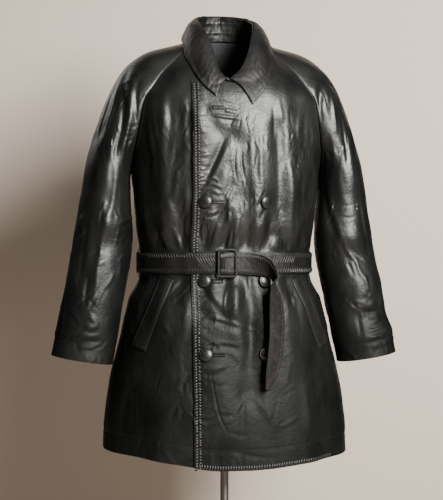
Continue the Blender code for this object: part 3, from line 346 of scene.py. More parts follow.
# Largest folds of the front and back: a line from top to bottom, half breadth, and height out of the coat
FOLD_COLUMNS = ("top_x", "top_z", "bottom_x", "bottom_z", "breadth", "height")
FRONT_FOLDS = (
    (-0.018, 1.235, -0.068, 1.125, 0.020, -0.0045),
    (0.020, 1.215, 0.012, 1.120, 0.022, -0.0035),
    (0.086, 1.250, 0.088, 1.045, 0.022, -0.0065),
    (0.116, 1.160, 0.114, 1.040, 0.020, 0.0055),
    (0.045, 1.200, 0.040, 1.060, 0.026, 0.0040),
    (-0.145, 1.290, -0.138, 1.050, 0.020, 0.0050),
    (-0.112, 1.270, -0.108, 1.045, 0.020, -0.0045),
    (0.034, 0.905, 0.030, 0.735, 0.026, -0.0065),
    (-0.005, 0.930, 0.000, 0.860, 0.026, 0.0045),
    (-0.060, 0.885, 0.020, 0.860, 0.018, -0.0035),
    (-0.050, 0.800, -0.020, 0.650, 0.026, 0.0040),
    (0.120, 0.880, 0.140, 0.600, 0.030, 0.0060),
    (0.185, 0.780, 0.200, 0.600, 0.028, -0.0050),
    (-0.125, 0.880, -0.145, 0.600, 0.030, 0.0055),
    (-0.190, 0.770, -0.205, 0.600, 0.028, -0.0045),
)
BACK_FOLDS = (
    (0.060, 1.230, 0.050, 1.050, 0.026, 0.0050),
    (-0.075, 1.250, -0.062, 1.050, 0.026, 0.0055),
    (-0.010, 1.200, -0.004, 1.045, 0.026, -0.0045),
    (0.128, 1.200, 0.120, 1.050, 0.022, -0.0055),
    (-0.132, 1.180, -0.126, 1.050, 0.022, -0.0050),
    (0.070, 0.900, 0.090, 0.600, 0.032, 0.0065),
    (-0.060, 0.890, -0.085, 0.600, 0.032, 0.0060),
    (0.005, 0.900, 0.000, 0.620, 0.030, -0.0060),
    (0.150, 0.850, 0.180, 0.600, 0.030, -0.0055),
    (-0.150, 0.860, -0.175, 0.600, 0.030, -0.0050),
)

# Folds of the sleeves: side (-1 wearer's right, 1 left, 0 both), place, angle round the sleeve from its outer
# crest by the front, reach along and round it, and height out of it
SLEEVE_FOLD_COLUMNS = ("side", "place", "angle", "reach_along", "reach_round", "height")
SLEEVE_FOLDS = (
    (-1, 0.60, 105, 0.060, 42, -0.0042),
    (-1, 0.70, 95, 0.050, 38, 0.0026),
    (-1, 0.30, 40, 0.160, 26, 0.0045),
    (-1, 0.08, 85, 0.045, 50, -0.0045),
    (1, 0.54, 95, 0.060, 42, -0.0046),
    (1, 0.64, 85, 0.050, 38, 0.0026),
    (1, 0.22, 70, 0.045, 55, -0.0060),
    (1, 0.12, 60, 0.040, 55, 0.0050),
    (1, 0.38, 50, 0.060, 45, 0.0040),
    (0, 0.55, 250, 0.080, 50, 0.0045),
    (0, 0.35, 300, 0.120, 35, -0.0040),
    (0, 0.85, 95, 0.080, 40, -0.0030),
)

# Gathers that the belt draws in, above and below it
GATHERS = 22
GATHER_HEIGHT = 0.0024
GATHER_REACH = 0.026
BELT_PRESS = 0.030

# Torso form
FORM = Table(
    ("height", "half_width", "front_depth", "back_depth"),
    (
        (0.700, 0.135, 0.095, 0.095),
        (0.780, 0.150, 0.108, 0.112),
        (0.870, 0.158, 0.112, 0.115),
        (0.970, 0.143, 0.104, 0.096),
        (1.060, 0.152, 0.116, 0.106),
        (1.180, 0.176, 0.130, 0.118),
        (1.260, 0.186, 0.124, 0.120),
        (1.310, 0.192, 0.108, 0.112),
    ),
)
FORM_SQUARENESS = 2.3
FORM_FOOT_SHARE = 0.94
FORM_SIDES = 96
# The form's ridge from shoulder to shoulder, low in the middle, where its neck is left out
FORM_RIDGE = Table(
    ("x", "height"),
    (
        (0.0, 1.352), (0.045, 1.362), (0.078, 1.405), (0.096, 1.438), (0.123, 1.4560), (0.150, 1.462),
        (0.173, 1.484), (0.192, 1.484),
    ),
)
FORM_TOP_POWER = 4.0


def bell(away, breadth):
    """1 on a line, and next to nothing two breadths away from it."""
    return np.exp(-((away / breadth) ** 2))


def between(where, keys, points):
    """Points of a chain at places between its keys."""
    return np.stack([np.interp(where, keys, points[:, axis]) for axis in range(3)], axis=-1)


def joined(pairs, join=np.concatenate):
    """All places, and all normals, of a list of pairs."""
    return join([place for place, _ in pairs]), join([normal for _, normal in pairs])


def linked(name, data):
    """A new object in the scene's collection."""
    obj = bpy.data.objects.new(name, data)
    bpy.context.scene.collection.objects.link(obj)
    return obj


def ring_points(angle, radius, height):
    around = np.stack([np.sin(angle), -np.cos(angle)], axis=-1)[None]
    return np.concatenate([around * radius[..., None], height[..., None]], axis=-1)


def stitched_dips(away, beyond, fold):
    """Troughs along a seam, where there is one, and along a stitched fold."""
    return -SEAM_DIP * bell(away, SEAM_BREADTH) * beyond, -HEM_DIP * bell(fold, HEM_BREADTH)


def soft_step(t):
    t = np.clip(t, 0.0, 1.0)
    return t * t * (3 - 2 * t)


def unit(vectors):
    return vectors / np.maximum(np.linalg.norm(vectors, axis=-1, keepdims=True), 1e-12)


def fold_line(x, z, row):
    """A rounded ridge or trough along one line, which fades past its ends."""
    fold = dict(zip(FOLD_COLUMNS, row))
    run = np.array([fold["bottom_x"] - fold["top_x"], fold["bottom_z"] - fold["top_z"]])
    share = ((x - fold["top_x"]) * run[0] + (z - fold["top_z"]) * run[1]) / (run @ run)
    share = np.clip(share, 0, 1)
    away = np.hypot(x - fold["top_x"] - share * run[0], z - fold["top_z"] - share * run[1])
    return fold["height"] * bell(away, fold["breadth"])


def superellipse(angle, half_width, depth, power):
    across = np.abs(np.sin(angle) / half_width) ** power
    return (across + np.abs(np.cos(angle) / depth) ** power) ** (-1 / power)


def plain_radius(angle, height):
    depth = np.where(np.cos(angle) > 0, BODY.at("front_depth", height), BODY.at("back_depth", height))
    return superellipse(angle, BODY.at("half_width", height), depth, BODY.at("squareness", height))


def relief(angle, height):
    """Folds and gathers, out from the plain form; the belt presses them flat."""
    plain = plain_radius(angle, height)
    x = plain * np.sin(angle)
    front = sum(fold_line(x, height, row) for row in FRONT_FOLDS)
    back = sum(fold_line(x, height, row) for row in BACK_FOLDS)
    blend = soft_step((np.cos(angle) + 0.15) / 0.3)
    away = np.maximum(np.abs(height - WAIST) - BELT_WIDTH / 2, 0) / GATHER_REACH
    gather = GATHER_HEIGHT * np.cos(GATHERS * angle) * away * np.exp(1 - away)
    pressed = soft_step((np.abs(height - WAIST) - BELT_WIDTH / 2 - 0.006) / BELT_PRESS)
    return pressed * (front * blend + back * (1 - blend)) + gather


def lap_lift(x, height):
    """How far the wearer's left front stands out of the right one, which it covers."""
    across = 1 - soft_step((x - LAP - LAP_SHOULDER) / LAP_FADE)
    return (WALL + OVERLAP_GAP) * across * (1 - soft_step((height - LAP_TOP) / LAP_TOP_FADE))


def body_point(angle, height, lapped=False, out=0.0):
    angle, height = np.broadcast_arrays(np.asarray(angle, float), np.asarray(height, float))
    radius = plain_radius(angle, height)
    lift = lap_lift(radius * np.sin(angle), height) if lapped else 0.0
    radius = radius + relief(angle, height) + lift + out
    return np.stack([radius * np.sin(angle), -radius * np.cos(angle), height], axis=-1)


def body_normal(angle, height, lapped=False):
    step = 0.003
    across = body_point(angle + step, height, lapped) - body_point(angle - step, height, lapped)
    up = body_point(angle, height + step, lapped) - body_point(angle, height - step, lapped)
    return unit(np.cross(across, up))


def angle_at(x, height, back=False):
    """The angle from the middle of the front, or of the back, at which the plain form is x from it."""
    height = np.asarray(height, float)
    x = np.broadcast_to(np.asarray(x, float), height.shape)
    low = np.zeros_like(height)
    high = np.full_like(height, math.pi / 2)
    for _ in range(30):
        middle = (low + high) / 2
        place = math.pi - middle if back else middle
        short = plain_radius(place, height) * np.sin(middle) < np.abs(x)
        low = np.where(short, middle, low)
        high = np.where(short, high, middle)
    return np.sign(x) * (low + high) / 2


def level(side_height, side_top, top):
    """The height of a row at a column whose top is another than the side's: level below the waist."""
    rise = np.maximum(side_height - LEVEL_BELOW, 0) * (top - LEVEL_BELOW) / (side_top - LEVEL_BELOW)
    return np.minimum(side_height, LEVEL_BELOW) + rise


def hem_rise(angle, height):
    """How far a row of a front or the back lies above its level; the sides of the hem are highest."""
    side = np.where(np.sin(angle) < 0, HEM_RISE[-1], HEM_RISE[1])
    near = soft_step((np.abs(np.sin(angle)) - HEM_RISE_START) / (1 - HEM_RISE_START))
    return side * near * (1 - soft_step((height - HEM) / HEM_RISE_REACH))


def head_places():
    return 1 + np.arange(1, HEAD_ROWS + 1) / HEAD_ROWS


def side_rows(which):
    """The height and the angle of the side seam, then of the raglan seam, at each row."""
    places = head_places()
    heights = np.concatenate([SIDE_HEIGHTS, ARMHOLE.at(which + "_height", places)])
    side = np.full(len(SIDE_HEIGHTS), 90.0)
    return heights, np.radians(np.concatenate([side, ARMHOLE.at(which + "_angle", places)]))


def front_places(side):
    """Angles and heights of a front's points; the underlap or overlap past the centre comes first."""
    heights, seams = side_rows("front")
    past = LAP * (1 - np.arange(LAP_COLUMNS) / LAP_COLUMNS)
    shares = np.arange(FRONT_COLUMNS + 1) / FRONT_COLUMNS
    past_top = NECK_HEIGHT + LAP_RISE * past[None, :] / LAP
    past_height = level(heights[:, None], heights[-1], past_top)
    own_height = level(heights[:, None], heights[-1], NECK_FRONT.at("height", shares)[None, :])
    past_angle = -angle_at(past[None, :] + 0 * past_height, past_height)
    own_angle = shares[None, :] * seams[:, None]
    own_angle[: len(SIDE_HEIGHTS), -1] -= SEAM_GAP / 2 / BODY.at("half_width", np.array(SIDE_HEIGHTS))
    angle = side * np.concatenate([past_angle, own_angle], axis=1)
    height = np.concatenate([past_height, own_height], axis=1)
    return angle, height + hem_rise(angle, height)


def back_places():
    heights, seams = side_rows("back")
    shares = np.linspace(1, -1, BACK_COLUMNS + 1)
    height = level(heights[:, None], heights[-1], NECK_BACK.at("height", np.abs(shares))[None, :])
    angle = math.pi - shares[None, :] * (math.pi - seams[:, None])
    inset = SEAM_GAP / 2 / BODY.at("half_width", np.array(SIDE_HEIGHTS))
    angle[: len(SIDE_HEIGHTS), 0] += inset
    angle[: len(SIDE_HEIGHTS), -1] -= inset
    return angle, height + hem_rise(angle, height)


def sleeve_relief(side, place, turn):
    total = np.zeros(np.broadcast(place, turn).shape)
    for row in SLEEVE_FOLDS:
        fold = dict(zip(SLEEVE_FOLD_COLUMNS, row))
        if fold["side"] not in (0, side):
            continue
        round_by = (np.degrees(turn) - fold["angle"] + 180) % 360 - 180
        along = (place - fold["place"]) / fold["reach_along"]
        total = total + fold["height"] * np.exp(-(along**2) - (round_by / fold["reach_round"]) ** 2)
    return total * (1 - soft_step((place - 0.95) / 0.25))


def sleeve_point(side, share, place, out=0.0):
    """A point of the left sleeve: share runs from the back seam (-1) over the crest (0) to the front (1)."""
    share, place = np.broadcast_arrays(np.asarray(share, float), np.asarray(place, float))
    tube = place <= 1
    low, high = np.minimum(place, 1), np.maximum(place, 1)
    outer, inner = (
        np.stack([SLEEVE.at(column, low) for column in (which + "_x", "middle_y", which + "_z")], axis=-1)
        for which in ("outer", "inner")
    )
    front = body_point(np.radians(ARMHOLE.at("front_angle", high)), ARMHOLE.at("front_height", high))
    back = body_point(np.radians(ARMHOLE.at("back_angle", high)), ARMHOLE.at("back_height", high))
    middle = (front + back) / 2
    crest = np.stack([ARMHOLE.at("crest_x", high), middle[..., 1], ARMHOLE.at("crest_z", high)], axis=-1)
    half_depth = np.where(tube, SLEEVE.at("half_depth", low), ARMHOLE.at("half_depth", high))
    half_chord = np.linalg.norm(front - back, axis=-1) / 2
    closing = math.pi - np.arcsin(np.minimum(half_chord / half_depth, 1))
    blend = soft_step((high - 1.15) / 0.3)
    spread = (1 - blend) * closing + blend * np.radians(ARMHOLE.at("spread", high))
    spread = np.where(tube, math.pi, spread)
    crest = np.where(tube[..., None], outer, crest)
    middle = np.where(tube[..., None], inner, middle)
    rise = (crest - middle) / (1 - np.cos(spread))[..., None]
    centre = crest - rise
    closed = half_chord < 0.004
    safe_sine = np.where(closed | tube, 1, np.sin(spread))[..., None]
    straight = np.stack([0 * half_depth, -half_depth, 0 * half_depth], axis=-1)
    forward = np.where((closed | tube)[..., None], straight, (front - back) / 2 / safe_sine)
    turn = share * spread
    arm = rise * np.cos(turn)[..., None] + forward * np.sin(turn)[..., None]
    bump = sleeve_relief(side, place, turn)
    return centre + arm + unit(arm) * (bump + out)[..., None]


# Creases: kind ("v" a soft trough or ridge, "c" a pinched one with shoulders, "s" a step), height out of
# the leather and breadth in millimetres, and the line that it follows. On the body that is x and z in
# millimetres, and on a sleeve the share of its girth, from its outer crest to its front seam, and its
# place, in hundredths
FRONT_CREASES = (
    ("v", -3.2, 8, ((-19, 1238), (-33, 1206), (-51, 1167), (-67, 1132))),
    ("v", 1.6, 7, ((-12, 1227), (-26, 1195), (-44, 1159), (-57, 1132))),
    ("v", -2.5, 14, ((-65, 1299), (-53, 1269), (-38, 1242), (-19, 1224))),
    ("v", 1.4, 8, ((-76, 1289), (-71, 1265), (-66, 1238))),
    ("s", 1.6, 5, ((-51, 1287), (-28, 1283), (4, 1278))),
    ("s", 1.4, 4, ((-48, 1273), (-20, 1269), (8, 1266))),
    ("s", 1.2, 4, ((-31, 1300), (-14, 1295), (4, 1288))),
    ("v", -1.0, 4, ((-4, 1272), (-14, 1252))),
    ("c", -1.5, 3, ((12, 1205), (10, 1182), (20, 1135))),
    ("c", -1.2, 3, ((0, 1215), (-4, 1179), (4, 1141))),
    ("v", 0.9, 5, ((28, 1266), (32, 1223), (28, 1176))),
    ("v", -0.9, 5, ((38, 1243), (35, 1192), (44, 1136))),
    ("v", 0.9, 5, ((48, 1246), (47, 1187), (50, 1116))),
    ("v", -0.8, 5, ((22, 1171), (26, 1128), (28, 1081))),
    ("v", 1.0, 6, ((15, 1128), (10, 1093), (1, 1049))),
    ("v", 1.0, 17, ((65, 1271), (65, 1239), (69, 1188), (72, 1117), (73, 1030))),
    ("v", -3.2, 12, ((88, 1272), (93, 1209), (94, 1130), (94, 1018))),
    ("v", 2.9, 8, ((107, 1210), (111, 1145), (113, 1082), (113, 1010))),
    ("v", 1.4, 5, ((86, 1312), (90, 1280), (95, 1246))),
    ("v", -1.3, 5, ((74, 1300), (78, 1263), (78, 1228))),
    ("v", 1.2, 5, ((99, 1265), (105, 1242), (99, 1209))),
    ("v", 1.3, 5, ((135, 1279), (129, 1255), (132, 1231))),
    ("v", -1.4, 6, ((149, 1289), (143, 1251), (146, 1212))),
    ("v", 1.6, 6, ((161, 1282), (166, 1234), (165, 1173), (187, 1105))),
    ("v", -2.2, 7, ((142, 1176), (138, 1111), (143, 1018))),
    ("v", 1.4, 6, ((127, 1170), (123, 1110), (132, 1030))),
    ("v", 1.0, 5, ((116, 1210), (125, 1170), (137, 1150))),
    ("v", 1.9, 7, ((154, 1120), (154, 1071), (177, 1014))),
    ("v", -2.9, 10, ((-12, 1187), (-8, 1155), (-16, 1113))),
    ("v", 1.7, 6, ((-2, 1135), (-12, 1113), (-14, 1088))),
    ("v", -2.6, 7, ((-28, 1097), (-39, 1065), (-57, 1021))),
    ("v", 1.7, 7, ((-10, 1085), (-22, 1049), (-33, 1014))),
    ("v", 1.9, 7, ((59, 1086), (56, 1049), (54, 1010))),
    ("v", -2.2, 8, ((36, 1081), (28, 1046), (23, 1010))),
    ("v", -1.7, 7, ((75, 1082), (72, 1046), (73, 1010))),
    ("v", 1.3, 7, ((9, 1077), (1, 1046), (-1, 1010))),
    ("s", 1.5, 4, ((-61, 1116), (-47, 1126), (-31, 1116))),
    ("s", 1.5, 4, ((-64, 1128), (-47, 1139), (-26, 1128))),
    ("s", 1.2, 3, ((-67, 1144), (-49, 1152), (-34, 1143))),
    ("v", -1.3, 5, ((-29, 1122), (-21, 1103), (-31, 1081))),
    ("s", 1.5, 4, ((-64, 1085), (-47, 1077), (-29, 1087))),
    ("v", 1.7, 7, ((-101, 1318), (-101, 1278), (-105, 1234))),
    ("v", 1.3, 7, ((-107, 1207), (-111, 1167), (-109, 1128))),
    ("c", 2.6, 5, ((-168, 1284), (-165, 1232), (-155, 1188), (-153, 1137))),
    ("v", 1.6, 6, ((-137, 1323), (-136, 1274), (-134, 1227))),
    ("v", -2.2, 7, ((-126, 1318), (-129, 1266), (-132, 1207), (-136, 1136))),
    ("v", -1.6, 7, ((-150, 1319), (-150, 1267), (-144, 1207))),
    ("v", -2.3, 7, ((-92, 1305), (-90, 1206), (-90, 1109), (-92, 1014))),
    ("v", 1.7, 6, ((-132, 1113), (-123, 1086), (-118, 1058))),
    ("c", 2.6, 4, ((-144, 1046), (-134, 1026), (-124, 1008))),
    ("c", 2.4, 4, ((-123, 1058), (-113, 1034), (-105, 1008))),
    ("v", -1.7, 5, ((-155, 1058), (-145, 1030), (-136, 1006))),
    ("v", -1.6, 5, ((-133, 1058), (-122, 1030), (-113, 1006))),
    ("v", -1.6, 7, ((-102, 1097), (-102, 1053), (-99, 1010))),
    ("v", 1.3, 6, ((-115, 1167), (-118, 1132), (-120, 1109))),
    ("v", -1.4, 6, ((-123, 1203), (-126, 1156), (-128, 1116))),
    ("v", 1.2, 5, ((-171, 1130), (-164, 1090), (-162, 1038))),
    ("v", -1.7, 7, ((-69, 939), (-51, 912), (-31, 888), (-9, 868))),
    ("v", 1.3, 6, ((-60, 946), (-43, 923), (-28, 903))),
    ("c", 2.0, 3, ((-61, 880), (-28, 874), (8, 861), (48, 848))),
    ("v", -1.4, 5, ((-61, 873), (-28, 865), (7, 851))),
    ("v", 2.0, 11, ((2, 942), (2, 912), (-4, 868))),
    ("v", -3.6, 14, ((37, 951), (37, 891), (31, 823), (22, 766))),
    ("v", 1.7, 10, ((66, 911), (64, 852), (59, 812))),
    ("v", -1.2, 4, ((-66, 831), (-37, 821), (7, 816))),
    ("v", 1.0, 4, ((-60, 838), (-29, 828), (7, 823))),
    ("s", 1.5, 4, ((-66, 818), (-49, 828), (-29, 816))),
    ("v", 1.9, 5, ((-65, 782), (-46, 776), (-22, 783))),
    ("v", -1.4, 5, ((-67, 770), (-46, 765), (-22, 772))),
    ("c", -1.3, 2, ((-50, 775), (-43, 728), (-34, 682), (-14, 647))),
    ("v", 1.4, 6, ((-22, 815), (-1, 803), (18, 778))),
    ("v", 1.7, 5, ((-79, 689), (-62, 683), (-45, 689))),
    ("v", 1.4, 5, ((-74, 674), (-55, 670), (-31, 680))),
    ("v", -1.4, 5, ((-80, 681), (-58, 676), (-39, 683))),
    ("v", 1.2, 7, ((16, 732), (41, 716), (76, 657))),
    ("v", -1.2, 7, ((6, 755), (13, 698), (4, 641))),
    ("v", 0.9, 4, ((50, 726), (59, 697), (68, 665))),
    ("v", -0.7, 4, ((77, 719), (73, 688), (60, 658))),
    ("v", 1.6, 7, ((-91, 923), (-96, 880), (-102, 824))),
    ("v", -1.4, 10, ((-113, 911), (-122, 854), (-134, 795))),
    ("v", 1.0, 6, ((-110, 815), (-107, 772), (-112, 730))),
    ("c", 1.8, 2, ((-196, 744), (-198, 697), (-198, 647))),
    ("v", -1.6, 7, ((-208, 766), (-215, 703), (-225, 631))),
    ("v", 0.9, 4, ((-144, 629), (-134, 610), (-120, 589))),
    ("v", 1.2, 5, ((207, 720), (205, 668), (199, 616))),
    ("v", -1.6, 7, ((182, 734), (182, 680), (178, 616))),
    ("v", 1.3, 7, ((129, 760), (141, 704), (148, 632))),
    ("v", 0.9, 5, ((103, 950), (104, 911), (101, 871))),
    ("v", -1.2, 6, ((120, 929), (125, 890), (132, 850))),
    ("c", -1.0, 2, ((80, 832), (96, 828), (113, 823))),
    ("v", 0.9, 5, ((102, 793), (99, 761), (90, 731))),
    ("v", -0.9, 5, ((-172, 918), (-181, 874), (-189, 838))),
    ("v", -1.0, 4, ((-16, 618), (24, 609), (73, 601))),
    ("v", 0.8, 3, ((0, 612), (2, 593), (2, 580))),
    ("v", 0.8, 3, ((15, 609), (16, 593), (17, 580))),
    ("v", 0.9, 3, ((32, 607), (34, 591), (35, 580))),
    ("v", 0.8, 3, ((49, 604), (50, 590), (53, 580))),
    ("v", 0.9, 3, ((67, 601), (69, 587), (71, 580))),
    ("v", 0.7, 3, ((90, 602), (91, 590), (94, 580))),
    ("v", 0.9, 3, ((111, 602), (113, 591), (115, 582))),
    ("v", 0.7, 3, ((135, 604), (135, 595), (139, 586))),
    ("v", 0.8, 3, ((-31, 615), (-29, 598), (-30, 582))),
    ("v", 0.7, 3, ((-51, 616), (-51, 601), (-49, 584))),
    ("v", 0.7, 3, ((-70, 616), (-70, 601), (-70, 584))),
)
RIGHT_SLEEVE_CREASES = (
    ("v", 3.6, 8, ((62, 168), (78, 152), (82, 137), (72, 106))),
    ("v", 3.0, 9, ((73, 108), (58, 84), (49, 67), (48, 57))),
    ("v", 2.6, 8, ((48, 65), (47, 48), (49, 38), (49, 26))),
    ("v", -4.0, 8, ((31, 172), (67, 151), (70, 126), (53, 90))),
    ("v", 2.6, 6, ((29, 168), (46, 149), (43, 136), (40, 115))),
    ("v", -2.6, 7, ((29, 161), (27, 144), (31, 118))),
    ("v", -2.4, 6, ((70, 171), (87, 156), (94, 140))),
    ("c", -1.5, 3, ((98, 134), (94, 126), (88, 116))),
    ("c", -1.5, 3, ((78, 151), (87, 147), (94, 142))),
    ("c", -2.0, 4, ((60, 94), (70, 91), (90, 88))),
    ("v", 1.8, 4, ((68, 96), (82, 94), (97, 93))),
    ("c", 2.2, 4, ((67, 73), (79, 75), (97, 77))),
    ("c", -2.2, 4, ((66, 70), (78, 72), (97, 74))),
    ("c", 1.6, 3.5, ((66, 70), (64, 65), (64, 60))),
    ("c", 2.0, 4, ((98, 66), (88, 63), (81, 60))),
    ("c", -1.8, 4, ((86, 68), (79, 65), (74, 61))),
    ("c", -1.4, 3, ((46, 78), (44, 74), (45, 70))),
    ("c", -1.6, 3.5, ((39, 44), (40, 35), (42, 27))),
    ("c", -1.5, 3, ((44, 33), (48, 30), (54, 27))),
    ("c", -1.5, 3, ((51, 33), (49, 30), (46, 26))),
    ("v", 1.5, 4, ((47, 23), (54, 22), (59, 19))),
    ("v", -2.0, 4, ((44, 16), (52, 15), (62, 17))),
    ("v", 1.4, 4, ((43, 18), (51, 18), (59, 19))),
    ("v", 3.0, 4, ((41, 7), (55, 8), (71, 10))),
    ("v", -2.0, 4, ((41, 10), (54, 11), (67, 12))),
    ("v", 1.5, 5, ((70, 54), (74, 51), (72, 44))),
    ("c", 1.3, 3, ((69, 52), (73, 55), (78, 57))),
    ("v", 2.2, 6, ((19, 74), (16, 56), (20, 38))),
    ("v", -2.0, 6, ((28, 75), (28, 56), (31, 36))),
    ("v", 1.6, 3, ((19, 29), (20, 22), (20, 16))),
    ("v", 1.4, 2.5, ((61, 4), (61, 1), (62, 0))),
    ("v", 1.2, 2.5, ((68, 4), (69, 2), (70, 0))),
    ("v", 1.2, 2.5, ((75, 4), (78, 2), (79, 0))),
    ("v", 1.4, 2.5, ((52, 4), (53, 2), (54, 0))),
)
LEFT_SLEEVE_CREASES = (
    ("v", -4.6, 8, ((42, 170), (77, 166), (97, 157), (100, 144))),
    ("v", 3.0, 7, ((51, 164), (68, 151), (72, 133))),
    ("v", 2.6, 8, ((83, 134), (77, 117), (64, 95), (57, 84))),
    ("v", -3.0, 7, ((54, 146), (57, 124), (48, 97))),
    ("v", 2.0, 5, ((22, 145), (32, 125), (35, 98), (36, 90))),
    ("c", -2.4, 3.5, ((92, 124), (82, 118), (68, 110))),
    ("c", 1.8, 3.5, ((97, 121), (86, 115), (73, 107))),
    ("c", 1.6, 3, ((96, 114), (85, 108), (72, 104))),
    ("v", -2.0, 4, ((71, 97), (61, 94), (52, 93))),
    ("c", -1.4, 3, ((68, 88), (58, 87), (46, 87))),
    ("c", -1.2, 3, ((66, 83), (56, 81), (45, 81))),
    ("c", -1.2, 3, ((62, 76), (53, 74), (43, 75))),
    ("v", -3.0, 8, ((87, 99), (80, 84), (68, 66))),
    ("v", 2.2, 6, ((75, 86), (65, 73), (59, 61))),
    ("c", 2.6, 4, ((58, 63), (57, 57), (48, 52), (46, 45))),
    ("c", 2.2, 4, ((46, 46), (41, 41), (41, 34))),
    ("c", -2.0, 4, ((53, 60), (46, 55), (38, 50))),
    ("c", -1.8, 4, ((58, 52), (54, 47), (53, 43))),
    ("v", 3.0, 6, ((50, 29), (43, 27), (34, 28))),
    ("c", -3.0, 4, ((55, 25), (44, 24), (30, 24))),
    ("v", 2.6, 5, ((50, 20), (41, 19), (28, 21))),
    ("c", -2.0, 3.5, ((51, 17), (43, 16), (31, 17))),
    ("c", -2.6, 4, ((53, 13), (43, 13), (29, 14))),
    ("v", 2.6, 4, ((51, 11), (41, 11), (31, 11))),
    ("c", -2.4, 4, ((48, 9), (39, 9), (28, 10))),
    ("v", 2.0, 4, ((53, 6), (42, 6), (28, 7))),
    ("c", 1.8, 3.5, ((58, 31), (52, 29), (45, 30))),
    ("c", 1.5, 3, ((48, 36), (43, 32), (36, 32))),
    ("v", 2.4, 6, ((24, 85), (21, 68), (19, 52))),
    ("v", -2.4, 6, ((36, 83), (33, 68), (29, 53))),
    ("v", 2.0, 5, ((26, 36), (24, 26), (23, 17))),
)
BACK_CREASES = (
    ("v", 3.4, 9, ((64, 1300), (58, 1220), (52, 1130), (50, 1040))),
    ("v", -3.6, 9, ((92, 1280), (88, 1200), (80, 1120), (76, 1030))),
    ("v", 3.2, 8, ((-70, 1310), (-64, 1230), (-60, 1140), (-58, 1035))),
    ("v", -3.4, 9, ((-98, 1270), (-92, 1190), (-88, 1110), (-84, 1030))),
    ("v", -3.0, 10, ((-8, 1290), (-4, 1200), (4, 1110), (2, 1025))),
    ("v", 2.6, 7, ((26, 1180), (24, 1120), (26, 1060), (24, 1010))),
    ("v", 2.4, 7, ((-34, 1160), (-30, 1100), (-32, 1050), (-30, 1010))),
    ("c", 2.4, 5, ((120, 1190), (104, 1150), (92, 1120))),
    ("c", -2.4, 5, ((-130, 1200), (-112, 1160), (-100, 1120))),
    ("s", 2.2, 5, ((140, 1240), (120, 1228), (96, 1226))),
    ("s", -2.0, 5, ((-150, 1230), (-124, 1216), (-96, 1214))),
    ("v", 2.2, 6, ((130, 1120), (124, 1080), (122, 1030))),
    ("v", -2.4, 7, ((150, 1110), (146, 1070), (142, 1020))),
    ("v", 2.2, 6, ((-128, 1110), (-126, 1070), (-124, 1024))),
    ("v", -2.2, 7, ((-152, 1120), (-150, 1080), (-146, 1026))),
    ("s", 1.6, 4, ((-60, 1345), (-20, 1338), (24, 1342), (66, 1350))),
    ("v", -1.6, 5, ((-80, 1370), (-40, 1362), (10, 1366), (60, 1372))),
    ("v", 3.4, 10, ((60, 955), (66, 880), (76, 780), (84, 660))),
    ("v", -4.0, 12, ((24, 950), (22, 860), (20, 760), (22, 640))),
    ("v", 3.6, 10, ((-20, 955), (-26, 870), (-36, 760), (-40, 640))),
    ("v", -3.6, 11, ((-66, 950), (-76, 860), (-90, 760), (-100, 650))),
    ("v", 3.0, 9, ((-118, 945), (-130, 860), (-146, 770), (-160, 680))),
    ("v", -3.0, 10, ((110, 945), (124, 860), (140, 770), (150, 680))),
    ("c", 1.8, 4, ((30, 900), (60, 884), (96, 880))),
    ("c", -1.8, 4, ((-40, 890), (-80, 878), (-112, 872))),
    ("s", 1.6, 4, ((60, 820), (20, 806), (-24, 812))),
    ("s", -1.6, 4, ((-60, 740), (-20, 728), (30, 736))),
    ("c", -1.6, 3.5, ((90, 760), (120, 742), (150, 740))),
    ("c", 1.6, 3.5, ((-110, 720), (-130, 700), (-160, 694))),
    ("v", 1.8, 5, ((0, 700), (6, 660), (4, 622))),
    ("v", -1.6, 5, ((60, 690), (66, 650), (64, 622))),
    ("v", 1.6, 5, ((-70, 680), (-72, 650), (-70, 622))),
)
# Folds on the hidden sides of both sleeves
SLEEVE_BACK_CREASES = (
    ("v", 3.2, 9, ((-30, 168), (-40, 140), (-44, 108), (-40, 84))),
    ("v", -3.6, 9, ((-52, 160), (-60, 130), (-60, 104))),
    ("v", 3.0, 8, ((-46, 88), (-42, 62), (-40, 36), (-42, 14))),
    ("v", -3.0, 8, ((-22, 92), (-20, 64), (-22, 36))),
    ("c", -2.8, 5, ((-30, 74), (-48, 70), (-66, 73))),
    ("c", 2.6, 5, ((-32, 68), (-50, 63), (-70, 66))),
    ("c", -2.6, 5, ((-34, 60), (-54, 56), (-72, 60))),
    ("c", 2.2, 4, ((-24, 54), (-44, 49), (-60, 50))),
    ("c", -2.0, 4, ((-40, 40), (-58, 44), (-76, 42))),
    ("s", 2.0, 5, ((-50, 110), (-66, 104), (-80, 96))),
    ("s", -2.0, 5, ((-40, 124), (-58, 116), (-74, 110))),
    ("c", 2.0, 4, ((-26, 24), (-46, 20), (-66, 22))),
    ("c", -2.0, 4, ((-30, 17), (-50, 13), (-70, 16))),
    ("c", 1.8, 4, ((-8, 60), (-18, 52), (-30, 50))),
    ("v", 2.0, 6, ((-70, 90), (-74, 70), (-72, 50))),
)
